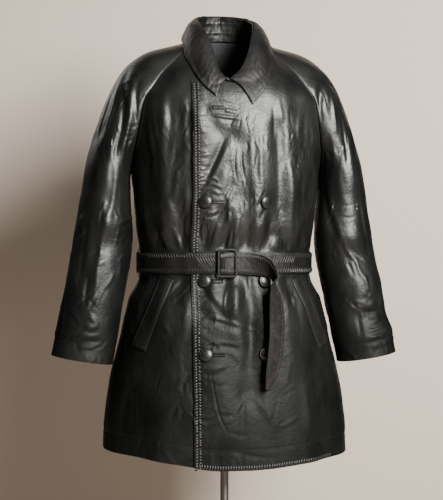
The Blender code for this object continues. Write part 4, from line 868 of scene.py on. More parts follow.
# On the collar: signed place round it, and share of the way from its fold to its edge, in hundredths
COLLAR_CREASES = (
    ("v", 1.3, 4, ((-84, 30), (-82, 38), (-79, 46))),
    ("s", 1.2, 4, ((-86, 46), (-83, 50), (-80, 52))),
    ("v", 1.1, 3, ((-85, 62), (-82, 66), (-79, 68))),
    ("c", 1.0, 3, ((-78, 40), (-76, 50), (-74, 58))),
    ("s", 0.9, 5, ((-60, 30), (-52, 40), (-46, 52))),
    ("v", -0.9, 6, ((-70, 40), (-62, 52), (-52, 66))),
    ("s", 1.2, 4, ((74, 36), (78, 40), (80, 48))),
    ("s", -1.1, 4, ((72, 44), (77, 48), (79, 58))),
    ("v", 1.0, 3, ((70, 52), (75, 58), (78, 68))),
    ("s", 0.9, 4, ((80, 30), (84, 38), (85, 50))),
    ("v", -0.9, 6, ((56, 36), (62, 50), (66, 66))),
    ("v", 0.8, 5, ((40, 30), (46, 46), (48, 64))),
    ("s", 0.9, 5, ((-20, 40), (-8, 46), (6, 42))),
    ("s", -0.9, 5, ((10, 60), (20, 56), (34, 62))),
)


def soft_noise(u, v, seed, size, wave, stretch):
    """A slow unevenness: waves that lean every way, longer along v than along u."""
    rng = np.random.default_rng(seed)
    total = np.zeros(u.shape)
    waves = 16
    for _ in range(waves):
        lean = rng.random() * 2 * math.pi
        pull = 2 * math.pi / wave * (0.6 + 0.9 * rng.random())
        phase = rng.random() * 2 * math.pi
        total += np.cos(pull * (u * math.cos(lean) + v * math.sin(lean) / stretch) + phase)
    return size * total / math.sqrt(waves)


def rounded(line):
    """A line with its corners rounded off."""
    line = np.array(line, float)
    for _ in range(2):
        first, last = line[:-1], line[1:]
        inner = np.stack([0.75 * first + 0.25 * last, 0.25 * first + 0.75 * last], axis=1).reshape(-1, 2)
        line = np.concatenate([line[:1], inner, line[-1:]])
    return line


def crease_profile(kind, share, side):
    middle = bell(share, 1)
    if kind == "s":
        return STEP_SIZE * side * share * middle
    if kind == "c":
        return PINCH_SIZE * middle - PINCH_SHOULDER * bell(share, PINCH_REACH)
    return middle


def crease_field(u, v, rows):
    """The sum of all creases at points of a chart; each fades towards its two ends."""
    total = np.zeros(u.shape)
    for kind, height, breadth, line in rows:
        reach = 3.2 * breadth
        low, high = line.min(axis=0) - reach, line.max(axis=0) + reach
        near = (u > low[0]) & (u < high[0]) & (v > low[1]) & (v < high[1])
        if not near.any():
            continue
        x, y = u[near], v[near]
        steps = np.diff(line, axis=0)
        lengths = np.linalg.norm(steps, axis=1)
        starts = np.concatenate([[0], np.cumsum(lengths)])
        nearest = np.full(x.shape, 1e9)
        side = np.zeros(x.shape)
        along = np.zeros(x.shape)
        for index, step in enumerate(steps):
            if lengths[index] < 1e-7:
                continue
            away_x, away_y = x - line[index, 0], y - line[index, 1]
            share = np.clip((away_x * step[0] + away_y * step[1]) / lengths[index] ** 2, 0, 1)
            away_x, away_y = away_x - share * step[0], away_y - share * step[1]
            distance = np.hypot(away_x, away_y)
            closer = distance < nearest
            nearest = np.where(closer, distance, nearest)
            side = np.where(closer, np.sign(step[0] * away_y - step[1] * away_x), side)
            along = np.where(closer, (starts[index] + share * lengths[index]) / starts[-1], along)
        ends = np.sin(math.pi * np.clip(along, 0, 1)) ** 0.7
        total[near] += height * ends * crease_profile(kind, nearest / breadth, side)
    return total


def strewn(seed, count, low, high, lean, spread, length, height, breadth):
    """Small creases strewn over a stretch of a chart, all leaning about one way (degrees from upright)."""
    rng = np.random.default_rng(seed)
    rows = []
    for _ in range(count):
        centre = np.array(low) + (np.array(high) - np.array(low)) * rng.random(2)
        turn = math.radians(lean + spread * (2 * rng.random() - 1))
        half = (length[0] + (length[1] - length[0]) * rng.random()) / 2
        step = half * np.array([math.sin(turn), math.cos(turn)])
        bend = half * 0.35 * (2 * rng.random() - 1) * np.array([math.cos(turn), -math.sin(turn)])
        size = height * (0.35 + 0.65 * rng.random()) * (1 if rng.random() < 0.5 else -1)
        kind = "vcs"[int(rng.random() * 3)]
        reach = breadth * (0.7 + 0.7 * rng.random())
        rows.append((kind, size, reach, rounded([centre - step, centre + bend, centre + step])))
    return rows


def front_chart(angle, height):
    radius = (BODY.at("half_width", height) + BODY.at("front_depth", height)) / 2
    return angle * radius, height + 0 * angle


def back_chart(angle, height):
    radius = (BODY.at("half_width", height) + BODY.at("back_depth", height)) / 2
    return (math.pi - angle % (2 * math.pi)) * radius, height + 0 * angle


def body_rows(rows, back=False):
    found = []
    for kind, height, breadth, line in rows:
        x, z = np.array(line, float).T / MILLI
        angle = angle_at(x, z, back)
        u, v = back_chart(math.pi - angle, z) if back else front_chart(angle, z)
        found.append((kind, height / MILLI, breadth / MILLI, rounded(np.stack([u, v], axis=1))))
    return found


def lace_puckers():
    """Short puckers that the lacing draws in beside the lapped edge."""
    rng = np.random.default_rng(11)
    rows = []
    z = HEM + PUCKER_START
    while z < LACE_TOP - 0.003:
        strong = 1.0 if any(low < z < high for low, high in STRONG_PUCKERS) else 0.55
        length = 0.010 + 0.014 * rng.random() * strong
        x = -LAP + PUCKER_INSET
        angle = float(angle_at(x, np.array(z)))
        u, v = front_chart(np.array(angle), np.array(z))
        rise = 0.004 * (2 * rng.random() - 0.6)
        line = [(u - 0.004, v), (u + length / 2, v + rise / 2), (u + length, v + rise)]
        size = (0.0008 + 0.0012 * rng.random()) * strong
        rows.append(("v", size, 0.0021 + 0.0009 * rng.random(), rounded(line)))
        z += 0.0062 + 0.0050 * rng.random()
    return rows


def sleeve_chart(share, place):
    low, high = np.minimum(place, 1), np.maximum(place, 1)
    tube = place <= 1
    spread = np.where(tube, math.pi, np.radians(ARMHOLE.at("spread", high)))
    head = ARMHOLE.at("half_depth", high) * (0.855 + 0.095 * soft_step((high - 1) / 0.3))
    radius = np.where(tube, (SLEEVE.at("half_depth", low) + HALF_THICKNESS) / 2, head)
    return share * spread * radius, TUBE_LENGTH * low + HEAD_LENGTH * (high - 1)


def sleeve_rows(rows):
    found = []
    for kind, height, breadth, line in rows:
        share, place = np.array(line, float).T / 100
        u, v = sleeve_chart(share, place)
        found.append((kind, height / MILLI, breadth / MILLI, rounded(np.stack([u, v], axis=1))))
    return found


COLLAR_ROWS = [
    (kind, height / MILLI, breadth / MILLI, rounded(np.array(line) / 100 * COLLAR_REACH))
    for kind, height, breadth, line in COLLAR_CREASES
]
# Strewn creases: seed, count, two corners of their stretch, lean, spread, lengths, height and breadth
FRONT_STREWN = (
    (1, 90, (-0.02, 1.04), (0.26, 1.28), 6, 24, (0.015, 0.050), 0.0011, 0.0030),
    (2, 60, (-0.26, 1.04), (-0.09, 1.30), 4, 22, (0.015, 0.055), 0.0009, 0.0030),
    (3, 70, (-0.08, 0.62), (0.30, 0.94), 70, 50, (0.015, 0.055), 0.0011, 0.0028),
    (4, 60, (-0.30, 0.60), (-0.09, 0.94), 20, 60, (0.015, 0.055), 0.0012, 0.0030),
    (5, 40, (-0.28, 1.005), (0.28, 1.060), 2, 16, (0.020, 0.045), 0.0015, 0.0030),
    (6, 30, (-0.28, 0.905), (0.28, 0.962), 8, 20, (0.016, 0.040), 0.0012, 0.0030),
)
BACK_STREWN = (
    (7, 120, (-0.28, 1.02), (0.28, 1.34), 2, 30, (0.015, 0.060), 0.0011, 0.0032),
    (8, 120, (-0.30, 0.60), (0.30, 0.95), 30, 60, (0.015, 0.060), 0.0010, 0.0032),
    (9, 50, (-0.28, 1.005), (0.28, 1.060), 0, 16, (0.020, 0.045), 0.0015, 0.0030),
)
SLEEVE_STREWN = {
    -1: (21, 150, (-0.24, 0.0), (0.24, 0.62), 20, 70, (0.015, 0.060), 0.0017, 0.0030),
    1: (22, 150, (-0.24, 0.0), (0.24, 0.62), -20, 70, (0.015, 0.060), 0.0017, 0.0030),
}
FRONT_ROWS = body_rows(FRONT_CREASES) + lace_puckers()
for row in FRONT_STREWN:
    FRONT_ROWS += strewn(*row)
BACK_ROWS = body_rows(BACK_CREASES, True)
for row in BACK_STREWN:
    BACK_ROWS += strewn(*row)
SLEEVE_ROWS = {
    side: sleeve_rows(rows) + sleeve_rows(SLEEVE_BACK_CREASES) + strewn(*SLEEVE_STREWN[side])
    for side, rows in ((-1, RIGHT_SLEEVE_CREASES), (1, LEFT_SLEEVE_CREASES))
}


def held_flat(height):
    """0 under the belt, 1 a little above and below it."""
    return soft_step((np.abs(height - WAIST) - BELT_WIDTH / 2 - 0.001) / 0.010)


def clear_of_trims(angle, height):
    """0 under a button, buttonhole or pocket welt, where the leather lies flat, and 1 away from them."""
    x = plain_radius(angle, height) * np.sin(angle)
    free = np.ones(x.shape)
    for z in BUTTON_HEIGHTS.values():
        free = np.minimum(free, soft_step((np.hypot(np.abs(x) - BUTTON_X, height - z) - 0.009) / 0.006))
    half = BUTTONHOLE_SIZE[0] / 2
    for z in BUTTONHOLE_HEIGHTS.values():
        beside = np.maximum(np.abs(x - BUTTONHOLE_X) - half, 0)
        gap = np.hypot(beside, np.maximum(np.abs(height - z) - 0.005, 0))
        free = np.minimum(free, soft_step(gap / 0.005))
    run = np.array([WELT_BOTTOM[0] - WELT_TOP[0], WELT_BOTTOM[1] - WELT_TOP[1]])
    share = ((np.abs(x) - WELT_TOP[0]) * run[0] + (height - WELT_TOP[1]) * run[1]) / (run @ run)
    share = np.clip(share, 0, 1)
    gap = np.hypot(np.abs(x) - WELT_TOP[0] - share * run[0], height - WELT_TOP[1] - share * run[1])
    return np.minimum(free, soft_step((gap - WELT_WIDTH / 2 - 0.001) / 0.006))


def fine_front(angle, height):
    u, v = front_chart(angle, height)
    seam = np.radians(np.interp(height, ARMHOLE.values[:, 2], ARMHOLE.values[:, 1]))
    radius = (BODY.at("half_width", height) + BODY.at("front_depth", height)) / 2
    away = (seam - np.abs(angle)) * radius
    neck = NECK_FRONT.at("height", np.abs(angle) / np.radians(ARMHOLE.at("front_angle", 2.0))) - height
    free = held_flat(height) * soft_step(away / SEAM_CALM) * soft_step(neck / NECK_CALM)
    free = free * clear_of_trims(angle, height)
    field = crease_field(u, v, FRONT_ROWS) + soft_noise(u, v, 31, *COAT_WAVE)
    fold = height - HEM - hem_rise(angle, height)
    edge, hem = stitched_dips(away, height > UNDERARM, fold - HEM_FOLD)
    return free * field + edge + hem


def fine_back(angle, height):
    u, v = back_chart(angle, height)
    seam = math.pi - np.radians(np.interp(height, ARMHOLE.values[:, 4], ARMHOLE.values[:, 3]))
    turn = math.pi - angle % (2 * math.pi)
    radius = np.abs(u) / np.maximum(np.abs(turn), 1e-9)
    away = (seam - np.abs(turn)) * radius
    share = np.abs(turn) / (math.pi - np.radians(ARMHOLE.at("back_angle", 2.0)))
    neck = NECK_BACK.at("height", share) - height
    free = held_flat(height) * soft_step(away / SEAM_CALM) * soft_step(neck / NECK_CALM)
    field = crease_field(u, v, BACK_ROWS) + soft_noise(u, v, 32, *COAT_WAVE)
    fold = height - HEM - hem_rise(angle, height)
    edge, hem = stitched_dips(away, height > UNDERARM, fold - HEM_FOLD)
    return free * field + edge + hem


def coat_front(angle, height, lapped):
    """Points of a front's outer face with all its creases."""
    angle, height = np.broadcast_arrays(np.asarray(angle, float), np.asarray(height, float))
    return body_point(angle, height, lapped, fine_front(angle, height))


def coat_back(angle, height):
    angle, height = np.broadcast_arrays(np.asarray(angle, float), np.asarray(height, float))
    return body_point(angle, height, False, fine_back(angle, height))


def coat_sleeve(side, share, place):
    share, place = np.broadcast_arrays(np.asarray(share, float), np.asarray(place, float))
    u, v = sleeve_chart(share, place)
    tube_girth = sleeve_chart(np.ones_like(share), place)[0]
    away = tube_girth - np.abs(u)
    free = soft_step(away / SEAM_CALM) * soft_step((2 - place) * HEAD_LENGTH / NECK_CALM)
    field = crease_field(u, v, SLEEVE_ROWS[side]) + soft_noise(u, v, 33 + side, *SLEEVE_WAVE)
    edge, cuff = stitched_dips(away, place > SEAM_START, v - CUFF_FOLD)
    return sleeve_point(side, share, place, free * field + edge + cuff)


def on_front(x, z, lapped=True):
    """Points and outward normals of a creased front at x and z."""
    x, z = np.broadcast_arrays(np.asarray(x, float), np.asarray(z, float))
    angle = angle_at(x, z)
    step = 0.006
    across = coat_front(angle + step, z, lapped) - coat_front(angle - step, z, lapped)
    up = coat_front(angle, z + step / 4, lapped) - coat_front(angle, z - step / 4, lapped)
    return coat_front(angle, z, lapped), unit(np.cross(across, up))


class Shades:
    """A material and the nodes that make up its look."""

    def __init__(self, name, roughness, sheen=0.0):
        self.material = bpy.data.materials.new(name)
        self.material.use_nodes = True
        self.nodes = self.material.node_tree.nodes
        self.links = self.material.node_tree.links
        self.shader = self.nodes["Principled BSDF"]
        self.shader.inputs["Roughness"].default_value = roughness
        self.shader.inputs["Sheen Weight"].default_value = sheen
        self.place = self.nodes.new("ShaderNodeTexCoord").outputs["Object"]

    def add(self, kind, output, inputs, **settings):
        """One output of a new node, whose inputs are linked or set."""
        made = self.nodes.new("ShaderNode" + kind)
        for key, value in settings.items():
            setattr(made, key, value)
        for key, value in inputs.items():
            if isinstance(value, bpy.types.NodeSocket):
                self.links.new(value, made.inputs[key])
            else:
                made.inputs[key].default_value = value
        return made.outputs[output]

    def noise(self, scale, detail, rough, stretch=(1, 1, 1)):
        turned = self.add("Mapping", "Vector", {"Vector": self.place, "Scale": stretch})
        inputs = {"Vector": turned, "Scale": scale, "Detail": detail, "Roughness": rough}
        return self.add("TexNoise", "Fac", inputs)

    def warped(self, scale, amount):
        """The piece's coordinates, pushed about a little so that cells look grown."""
        push = self.add("TexNoise", "Color", {"Vector": self.place, "Scale": scale, "Detail": 2.0})
        inputs = {0: push, 1: (amount, amount, amount), 2: self.place}
        return self.add("VectorMath", "Vector", inputs, operation="MULTIPLY_ADD")

    def cells(self, place, scale):
        inputs = {"Vector": place, "Scale": scale}
        return self.add("TexVoronoi", "Distance", inputs, feature="DISTANCE_TO_EDGE")

    def ranged(self, value, low, high, at_low, at_high):
        keys = ("Value", "From Min", "From Max", "To Min", "To Max")
        return self.add("MapRange", "Result", dict(zip(keys, (value, low, high, at_low, at_high))))

    def ramp(self, value, stops):
        made = self.nodes.new("ShaderNodeValToRGB")
        bar = made.color_ramp
        while len(bar.elements) < len(stops):
            bar.elements.new(0.5)
        for element, (place, colour) in zip(bar.elements, stops):
            element.position = place
            element.color = (*colour, 1.0) if isinstance(colour, tuple) else (colour, colour, colour, 1.0)
        self.links.new(value, made.inputs["Fac"])
        return made.outputs["Color"]

    def mixed(self, share, first, second):
        made = self.nodes.new("ShaderNodeMix")
        made.data_type = "RGBA"
        factor, low, high = [s for s in made.inputs if s.name in ("Factor", "A", "B") and s.enabled]
        self.links.new(share, factor)
        low.default_value = (*first, 1.0)
        high.default_value = (*second, 1.0)
        return [s for s in made.outputs if s.enabled][0]

    def summed(self, parts):
        """Heights, each times its own size, added up."""
        total = 0.0
        for value, size in parts:
            total = self.add("Math", 0, {0: value, 1: size, 2: total}, operation="MULTIPLY_ADD")
        return total

    def bumped(self, parts):
        """Bumps the surface by heights, each times its own size in millimetres."""
        inputs = {"Strength": 1.0, "Distance": 0.001, "Height": self.summed(parts)}
        self.links.new(self.add("Bump", "Normal", inputs), self.shader.inputs["Normal"])

    def paint(self, socket, value):
        self.links.new(value, self.shader.inputs[socket])


def leather_material(name, dark, worn, rough_low, rough_high, wrinkle, shine):
    """Waxed leather with fine creases and pebbled grain; below the belt it is duller."""
    look = Shades(name, rough_low)
    cloudy = look.noise(16, 4, 0.55, (1, 1, 0.6))
    fine = look.noise(70, 4, 0.6)
    look.paint("Base Color", look.mixed(look.ramp(cloudy, ((0.42, 0.0), (0.68, 1.0))), dark, worn))
    height = look.add("SeparateXYZ", "Z", {"Vector": look.place})
    look.paint("Specular IOR Level", look.ranged(height, *WAX_FADE, 0.12, shine))
    dull = look.ramp(cloudy, ((0.30, rough_low), (0.72, rough_high)))
    duller_below = look.ranged(height, *ROUGH_FADE, 0.10, 0.0)
    look.paint("Roughness", look.summed(((dull, 1.0), (duller_below, 1.0))))
    pushed = look.warped(30, 0.032)
    lines = look.ramp(look.cells(pushed, 105), ((0.0, 0.0), (0.16, 0.75), (0.5, 1.0)))
    pebbles = look.ramp(look.cells(pushed, 620), ((0.0, 0.0), (0.35, 1.0)))
    look.bumped((
        (fine, 0.85 * wrinkle), (lines, 0.13 * wrinkle), (pebbles, 0.035), (cloudy, 0.5 * wrinkle),
    ))
    return look.material


def plain_material(name, low, high, roughness, grain, size, sheen=0.0, metallic=0.0):
    look = Shades(name, roughness, sheen)
    look.shader.inputs["Metallic"].default_value = metallic
    speckle = look.noise(grain, 3, 0.6)
    look.paint("Base Color", look.ramp(speckle, ((0.35, low), (0.65, high))))
    look.bumped(((speckle, size),))
    return look.material


def suede_material():
    look = Shades("suede", 0.80)
    look.shader.inputs["Specular IOR Level"].default_value = 0.22
    broad = look.noise(45, 4, 0.6)
    nap = look.noise(1400, 2, 0.7)
    look.paint("Base Color", look.ramp(broad, (
        (0.30, (0.003, 0.003, 0.003)), (0.52, (0.007, 0.006, 0.005)), (0.72, (0.018, 0.014, 0.011)),
    )))
    look.bumped(((broad, 0.5), (nap, 0.10)))
    return look.material


def woven_material(name, low, high, pitch, size):
    look = Shades(name, 0.85, 0.2)
    threads = []
    for axis in ("X", "Z"):
        inputs = {"Vector": look.place, "Scale": WAVES_TO_PITCH / pitch}
        threads.append((look.add("TexWave", "Fac", inputs, bands_direction=axis), size))
    look.paint("Base Color", look.ramp(look.noise(200, 3, 0.6), ((0.35, low), (0.65, high))))
    look.bumped(threads)
    return look.material


LEATHER = leather_material(
    "leather", dark=(0.0028, 0.0032, 0.0030), worn=(0.0066, 0.0068, 0.0060),
    rough_low=0.36, rough_high=0.48, wrinkle=0.9, shine=0.47,
)
TRIM_LEATHER = leather_material(
    "leather_trim", dark=(0.0032, 0.0033, 0.0031), worn=(0.0085, 0.0078, 0.0068),
    rough_low=0.44, rough_high=0.58, wrinkle=0.6, shine=0.32,
)
LINING = plain_material(
    "lining", (0.008, 0.008, 0.009), (0.016, 0.016, 0.017), roughness=0.62, grain=900, size=0.05, sheen=0.2
)
SUEDE = suede_material()
LACE = plain_material(
    "lacing", (0.004, 0.004, 0.004), (0.012, 0.0105, 0.009), roughness=0.46, grain=500, size=0.10
)
THREAD = plain_material(
    "thread", (0.010, 0.009, 0.009), (0.022, 0.019, 0.017), roughness=0.60, grain=900, size=0.08
)
GLOSS = plain_material(
    "button", (0.004, 0.004, 0.0045), (0.008, 0.008, 0.0085), roughness=0.36, grain=60, size=0.02
)
JERSEY = woven_material("form", (0.020, 0.020, 0.020), (0.034, 0.033, 0.032), pitch=0.0008, size=0.10)
STEEL = plain_material(
    "steel", (0.50, 0.49, 0.47), (0.60, 0.58, 0.56), roughness=0.28, grain=300, size=0.01, metallic=1.0
)
PAINTED = plain_material(
    "painted", (0.045, 0.045, 0.047), (0.055, 0.055, 0.057), roughness=0.45, grain=700, size=0.03
)


def add_piece(name, points, faces, materials, body="root", faces_of=None, angle=40):
    """One mesh object that rides on the body and has its material slot."""
    mesh = bpy.data.meshes.new(name)
    points = np.asarray(points, np.float32).reshape(-1, 3)
    faces = np.asarray(faces, np.int32)
    mesh.vertices.add(len(points))
    mesh.vertices.foreach_set("co", points.ravel())
    width = faces.shape[1]
    mesh.loops.add(faces.size)
    mesh.loops.foreach_set("vertex_index", faces.ravel())
    mesh.polygons.add(len(faces))
    mesh.polygons.foreach_set("loop_start", np.arange(0, faces.size, width, dtype=np.int32))
    mesh.update(calc_edges=True)
    mesh.validate()
    for material in materials:
        mesh.materials.append(material)
    if faces_of is not None:
        mesh.polygons.foreach_set("material_index", np.asarray(faces_of, np.int32))
    mesh.shade_smooth()
    mesh.set_sharp_from_angle(angle=math.radians(angle))
    obj = linked(name, mesh)
    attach(obj, body)
    return obj


def grid_normals(points, wrapped_rows=0):
    across = np.gradient(points, axis=1)
    for row in range(wrapped_rows):
        across[row, 0] = across[row, -1] = (points[row, 1] - points[row, -2]) / 2
    up = np.gradient(points, axis=0)
    return unit(np.cross(across, up))


def grid_faces(rows, columns, wrapped_rows=0, leave_out=None):
    index = np.arange(rows * columns).reshape(rows, columns)
    index[:wrapped_rows, -1] = index[:wrapped_rows, 0]
    quads = np.stack([index[:-1, :-1], index[:-1, 1:], index[1:, 1:], index[1:, :-1]], axis=-1)
    if leave_out is not None:
        return quads[~leave_out].reshape(-1, 4)
    return quads.reshape(-1, 4)


def wall_mesh(outer, inner, wrapped_rows=0, leave_out=None):
    """Points, faces and which faces are inner, of a closed wall over a grid."""
    rows, columns = outer.shape[:2]
    faces = grid_faces(rows, columns, wrapped_rows, leave_out)
    count = rows * columns
    starts = faces.ravel()
    ends = np.roll(faces, -1, axis=1).ravel()
    keys = starts.astype(np.int64) * count + ends
    back_keys = ends.astype(np.int64) * count + starts
    free = ~np.isin(keys, back_keys) & (starts != ends)
    a, b = starts[free], ends[free]
    strips = np.stack([b, a, a + count, b + count], axis=1)
    every = np.concatenate([faces, faces[:, ::-1] + count, strips])
    inside = np.concatenate([np.zeros(len(faces)), np.ones(len(faces)), np.zeros(len(strips))]).astype(int)
    points = np.concatenate([outer.reshape(-1, 3), inner.reshape(-1, 3)])
    return points, every, inside


def volume_of(points, faces):
    a, b, c, d = (points[faces[:, i]] for i in range(4))
    return float((np.sum(a * np.cross(b, c), axis=1) + np.sum(a * np.cross(c, d), axis=1)).sum() / 6)


def add_wall(name, outer, inner, materials, wrapped_rows=0, leave_out=None, angle=55):
    """A closed wall in place of its node: outer faces in the first material, inner ones in the second."""
    points, faces, inside = wall_mesh(outer, inner, wrapped_rows, leave_out)
    if volume_of(points, faces) < 0:
        faces = faces[:, ::-1]
    used = np.zeros(len(points), bool)
    used[faces.ravel()] = True
    faces = (np.cumsum(used) - 1)[faces]
    shades = inside if len(materials) > 1 else None
    obj = add_piece(name, points[used], faces, materials, faces_of=shades, angle=angle)
    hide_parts(name)
    return obj


def strands(name, lines, normals, width, thickness, material, slot="leather", sides=6):
    """Thin flat strands along lines (strand, step, xyz); each is a closed tube, tapered at both ends."""
    count, steps = lines.shape[:2]
    along = unit(np.gradient(lines, axis=1))
    aside = unit(np.cross(normals, along))
    up = unit(np.cross(along, aside))
    turn = 2 * math.pi * np.arange(sides) / sides
    t = np.linspace(0, 1, steps)
    ends = np.clip(np.minimum(t, 1 - t) * 2 * steps / 3, 0.35, 1)[None, :, None, None]
    half_width = np.asarray(width) / 2
    ring = (
        half_width * np.cos(turn)[None, None, :, None] * aside[:, :, None, :]
        + thickness / 2 * np.sin(turn)[None, None, :, None] * up[:, :, None, :]
    ) * ends
    points = (lines[:, :, None, :] + ring).reshape(-1, 3)
    index = np.arange(count * steps * sides).reshape(count, steps, sides)
    after = np.roll(index, -1, axis=2)
    quads = np.stack([index[:, :-1], after[:, :-1], after[:, 1:], index[:, 1:]], axis=-1).reshape(-1, 4)
    first = index[:, 0]
    last = index[:, -1]
    caps = []
    for step in range(1, sides // 2):
        other = sides - 1 - step
        columns = (step - 1, (other + 1) % sides, other, step)
        caps.append(np.stack([first[:, column] for column in columns], axis=1))
        caps.append(np.stack([last[:, column] for column in columns[::-1]], axis=1))
    faces = np.concatenate([quads] + caps)
    return add_piece(name, points, faces, [material], angle=70)


def resample(points, shares):
    """Points at shares of the length of a chain of points."""
    steps = np.linalg.norm(np.diff(points, axis=0), axis=1)
    length = np.concatenate([[0], np.cumsum(steps)]) / steps.sum()
    return between(shares, length, points)


def stitch_line(points, normals, length, pitch, lift):
    """Lines of the stitches along a chain of points, each arched over the leather."""
    steps = np.linalg.norm(np.diff(points, axis=0), axis=1)
    run = np.concatenate([[0], np.cumsum(steps)])
    count = max(int(run[-1] / pitch), 1)
    starts = (np.arange(count) + 0.5) * run[-1] / count - length / 2
    where = starts[:, None] + np.linspace(0, length, 4)[None, :]
    place = between(where, run, points)
    normal = unit(between(where, run, normals))
    arch = np.array([0.0, 1.0, 1.0, 0.0])
    return place + normal * (lift * arch - STITCH_SUNK)[None, :, None], normal


def add_stitches(name, chains, width=0.0007, length=0.0030, pitch=0.0042, lift=0.00035):
    found = [stitch_line(points, normals, length, pitch, lift) for points, normals in chains]
    strands(name, *joined(found), width, STITCH_WALL, THREAD)


def mirrored(points, side):
    return points * np.array([side, 1.0, 1.0])


# Rows and columns of the fine shells
STRAP_ROWS = 17
BELT_COLUMNS = 560
TAIL_COLUMNS = 150
TAIL_KEYS = 25
FRONT_COLUMNS = 112
LAP_COLUMNS = 46
BACK_COLUMNS = 170
SLEEVE_COLUMNS = 132
HEAD_ROWS = 84
SIDE_HEIGHTS = tuple(np.linspace(HEM, UNDERARM, 164))
TUBE_PLACES = np.linspace(0, 1, 118)
COLLAR_COLUMNS = 240
COLLAR_STEPS = 34


def eased(points, middle, reach=18, passes=60):
    """Rounds the slight bend where a sleeve's tube becomes its head; its seam edges stay."""
    points = points.copy()
    rows = np.arange(middle - reach, middle + reach + 1)
    share = np.linspace(0, 1, points.shape[1])
    free = soft_step(np.minimum(share, 1 - share) / 0.10)[None, :, None]
    near = (np.cos(math.pi * (rows - middle) / (2 * reach)) ** 2)[:, None, None]
    for _ in range(passes):
        smooth = (points[rows - 1] + points[rows + 1]) / 2
        points[rows] += 0.5 * near * free * (smooth - points[rows])
    return points


def make_sleeves():
    found = {}
    for side, name in ((1, "sleeve_left"), (-1, "sleeve_right")):
        places = np.concatenate([TUBE_PLACES, head_places()])
        shares = np.linspace(-1, 1, SLEEVE_COLUMNS + 1)
        points = coat_sleeve(side, shares[None, :], places[:, None])
        rows = len(TUBE_PLACES)
        points = eased(points, rows - 1)
        normals = -grid_normals(points, wrapped_rows=rows)
        seams = seam_edges(points, normals, rows, side)
        outer = mirrored(points, side)
        inner = mirrored(points - WALL * normals, side)
        obj = add_wall(name, outer, inner, [LEATHER, LINING], wrapped_rows=rows)
        found[side] = {"seams": seams, "outer": outer, "normals": mirrored(normals, side), "object": obj}
    return found


def seam_edges(points, normals, first, side):
    places = head_places()
    shared = {}
    for which, column, inward in (("front", -1, -2), ("back", 0, 1)):
        angle = np.radians(ARMHOLE.at(which + "_angle", places))
        height = ARMHOLE.at(which + "_height", places)
        body = mirrored(body_normal(side * angle, height), side)
        own = normals[first:, column]
        along = unit(points[first:, inward] - points[first:, column])
        points[first:, column] += SEAM_GAP * 1.2 * unit(along + 0.7 * body)
        smooth = np.sum(body * own, axis=1) > 0.5
        both = unit(body + own)
        shared[which] = np.where(smooth[:, None], both, body)
        normals[first:, column] = np.where(smooth[:, None], both, own)
    return shared


def make_fronts(sleeves):
    found = {}
    below = len(SIDE_HEIGHTS)
    for side, name in ((1, "front_left"), (-1, "front_right")):
        angle, height = front_places(side)
        outer = coat_front(angle, height, side == 1)
        normals = side * grid_normals(outer)
        normals[below:, -1] = mirrored(sleeves[side]["seams"]["front"], side)
        obj = add_wall(name, outer, outer - WALL * normals, [LEATHER, LINING])
        found[side] = {"outer": outer, "normals": normals, "object": obj}
    return found


def make_back(sleeves):
    angle, height = back_places()
    outer = coat_back(angle, height)
    normals = grid_normals(outer)
    if np.sum(normals[..., 1]) < 0:
        normals = -normals
    below = len(SIDE_HEIGHTS)
    normals[below:, 0] = sleeves[1]["seams"]["back"]
    normals[below:, -1] = mirrored(sleeves[-1]["seams"]["back"], -1)
    obj = add_wall("back", outer, outer - WALL * normals, [LEATHER, LINING])
    return {"outer": outer, "normals": normals, "object": obj}


def make_lining():
    shares = np.linspace(0.9, -0.9, 61)
    drop = np.linspace(LINING_DROP, 0.002, 25)
    height = NECK_BACK.at("height", np.abs(shares))[None, :] - drop[:, None]
    angle = math.pi - shares[None, :] * math.radians(LINING_ANGLE) + 0 * height
    away = WALL + LINING_GAP
    normals = body_normal(angle, height)
    smooth = body_point(angle, height)
    wave = soft_noise(angle * 0.1, height, 41, *SMALL_WAVE)[..., None]
    outer = smooth - (away + np.abs(wave)) * normals
    inner = smooth - (away + np.abs(wave) + LINING_WALL) * normals
    return add_wall("lining_yoke", outer, inner, [LINING])


def neckline(side, along):
    """The coat's neck edge on one side, from the centre front (0) to the centre back (1)."""
    shares = np.linspace(0, 1, FRONT_COLUMNS + 1)
    angle = side * shares * np.radians(ARMHOLE.at("front_angle", 2.0))
    front = body_point(angle, NECK_FRONT.at("height", shares), lapped=side == 1)
    arc = mirrored(sleeve_point(side, np.linspace(1, -1, SLEEVE_COLUMNS + 1), 2.0), side)
    shares = np.linspace(1, 0, BACK_COLUMNS // 2 + 1)
    angle = side * (math.pi - shares * (math.pi - np.radians(ARMHOLE.at("back_angle", 2.0))))
    back = body_point(angle, NECK_BACK.at("height", shares))
    return resample(np.concatenate([front, arc[1:-1], back]), along)


def collar_line(places, which):
    along = 1 - np.abs(places)
    side = np.where(places < 0, -1, 1)
    points = np.stack([COLLAR.at(f"{which}_{axis}", along) for axis in "xyz"], axis=1)
    shifts, reach = COLLAR_SHIFTS[which]
    shift = np.array([[shifts[s][0], 0, shifts[s][1]] for s in side])
    points = points + (1 - soft_step(along / reach))[:, None] * shift
    points[:, 0] *= side
    return points


def neck_points(places):
    along = 1 - np.abs(places)
    points = np.zeros((len(places), 3))
    for side in (-1, 1):
        chosen = (places < 0) == (side == -1)
        points[chosen] = neckline(side, along[chosen])
    middle = (np.abs(points[:, 0]) < MIDDLE_GAP) & (along < 0.5)
    points[middle, 0] = np.where(places[middle] < 0, -MIDDLE_GAP, MIDDLE_GAP)
    return points


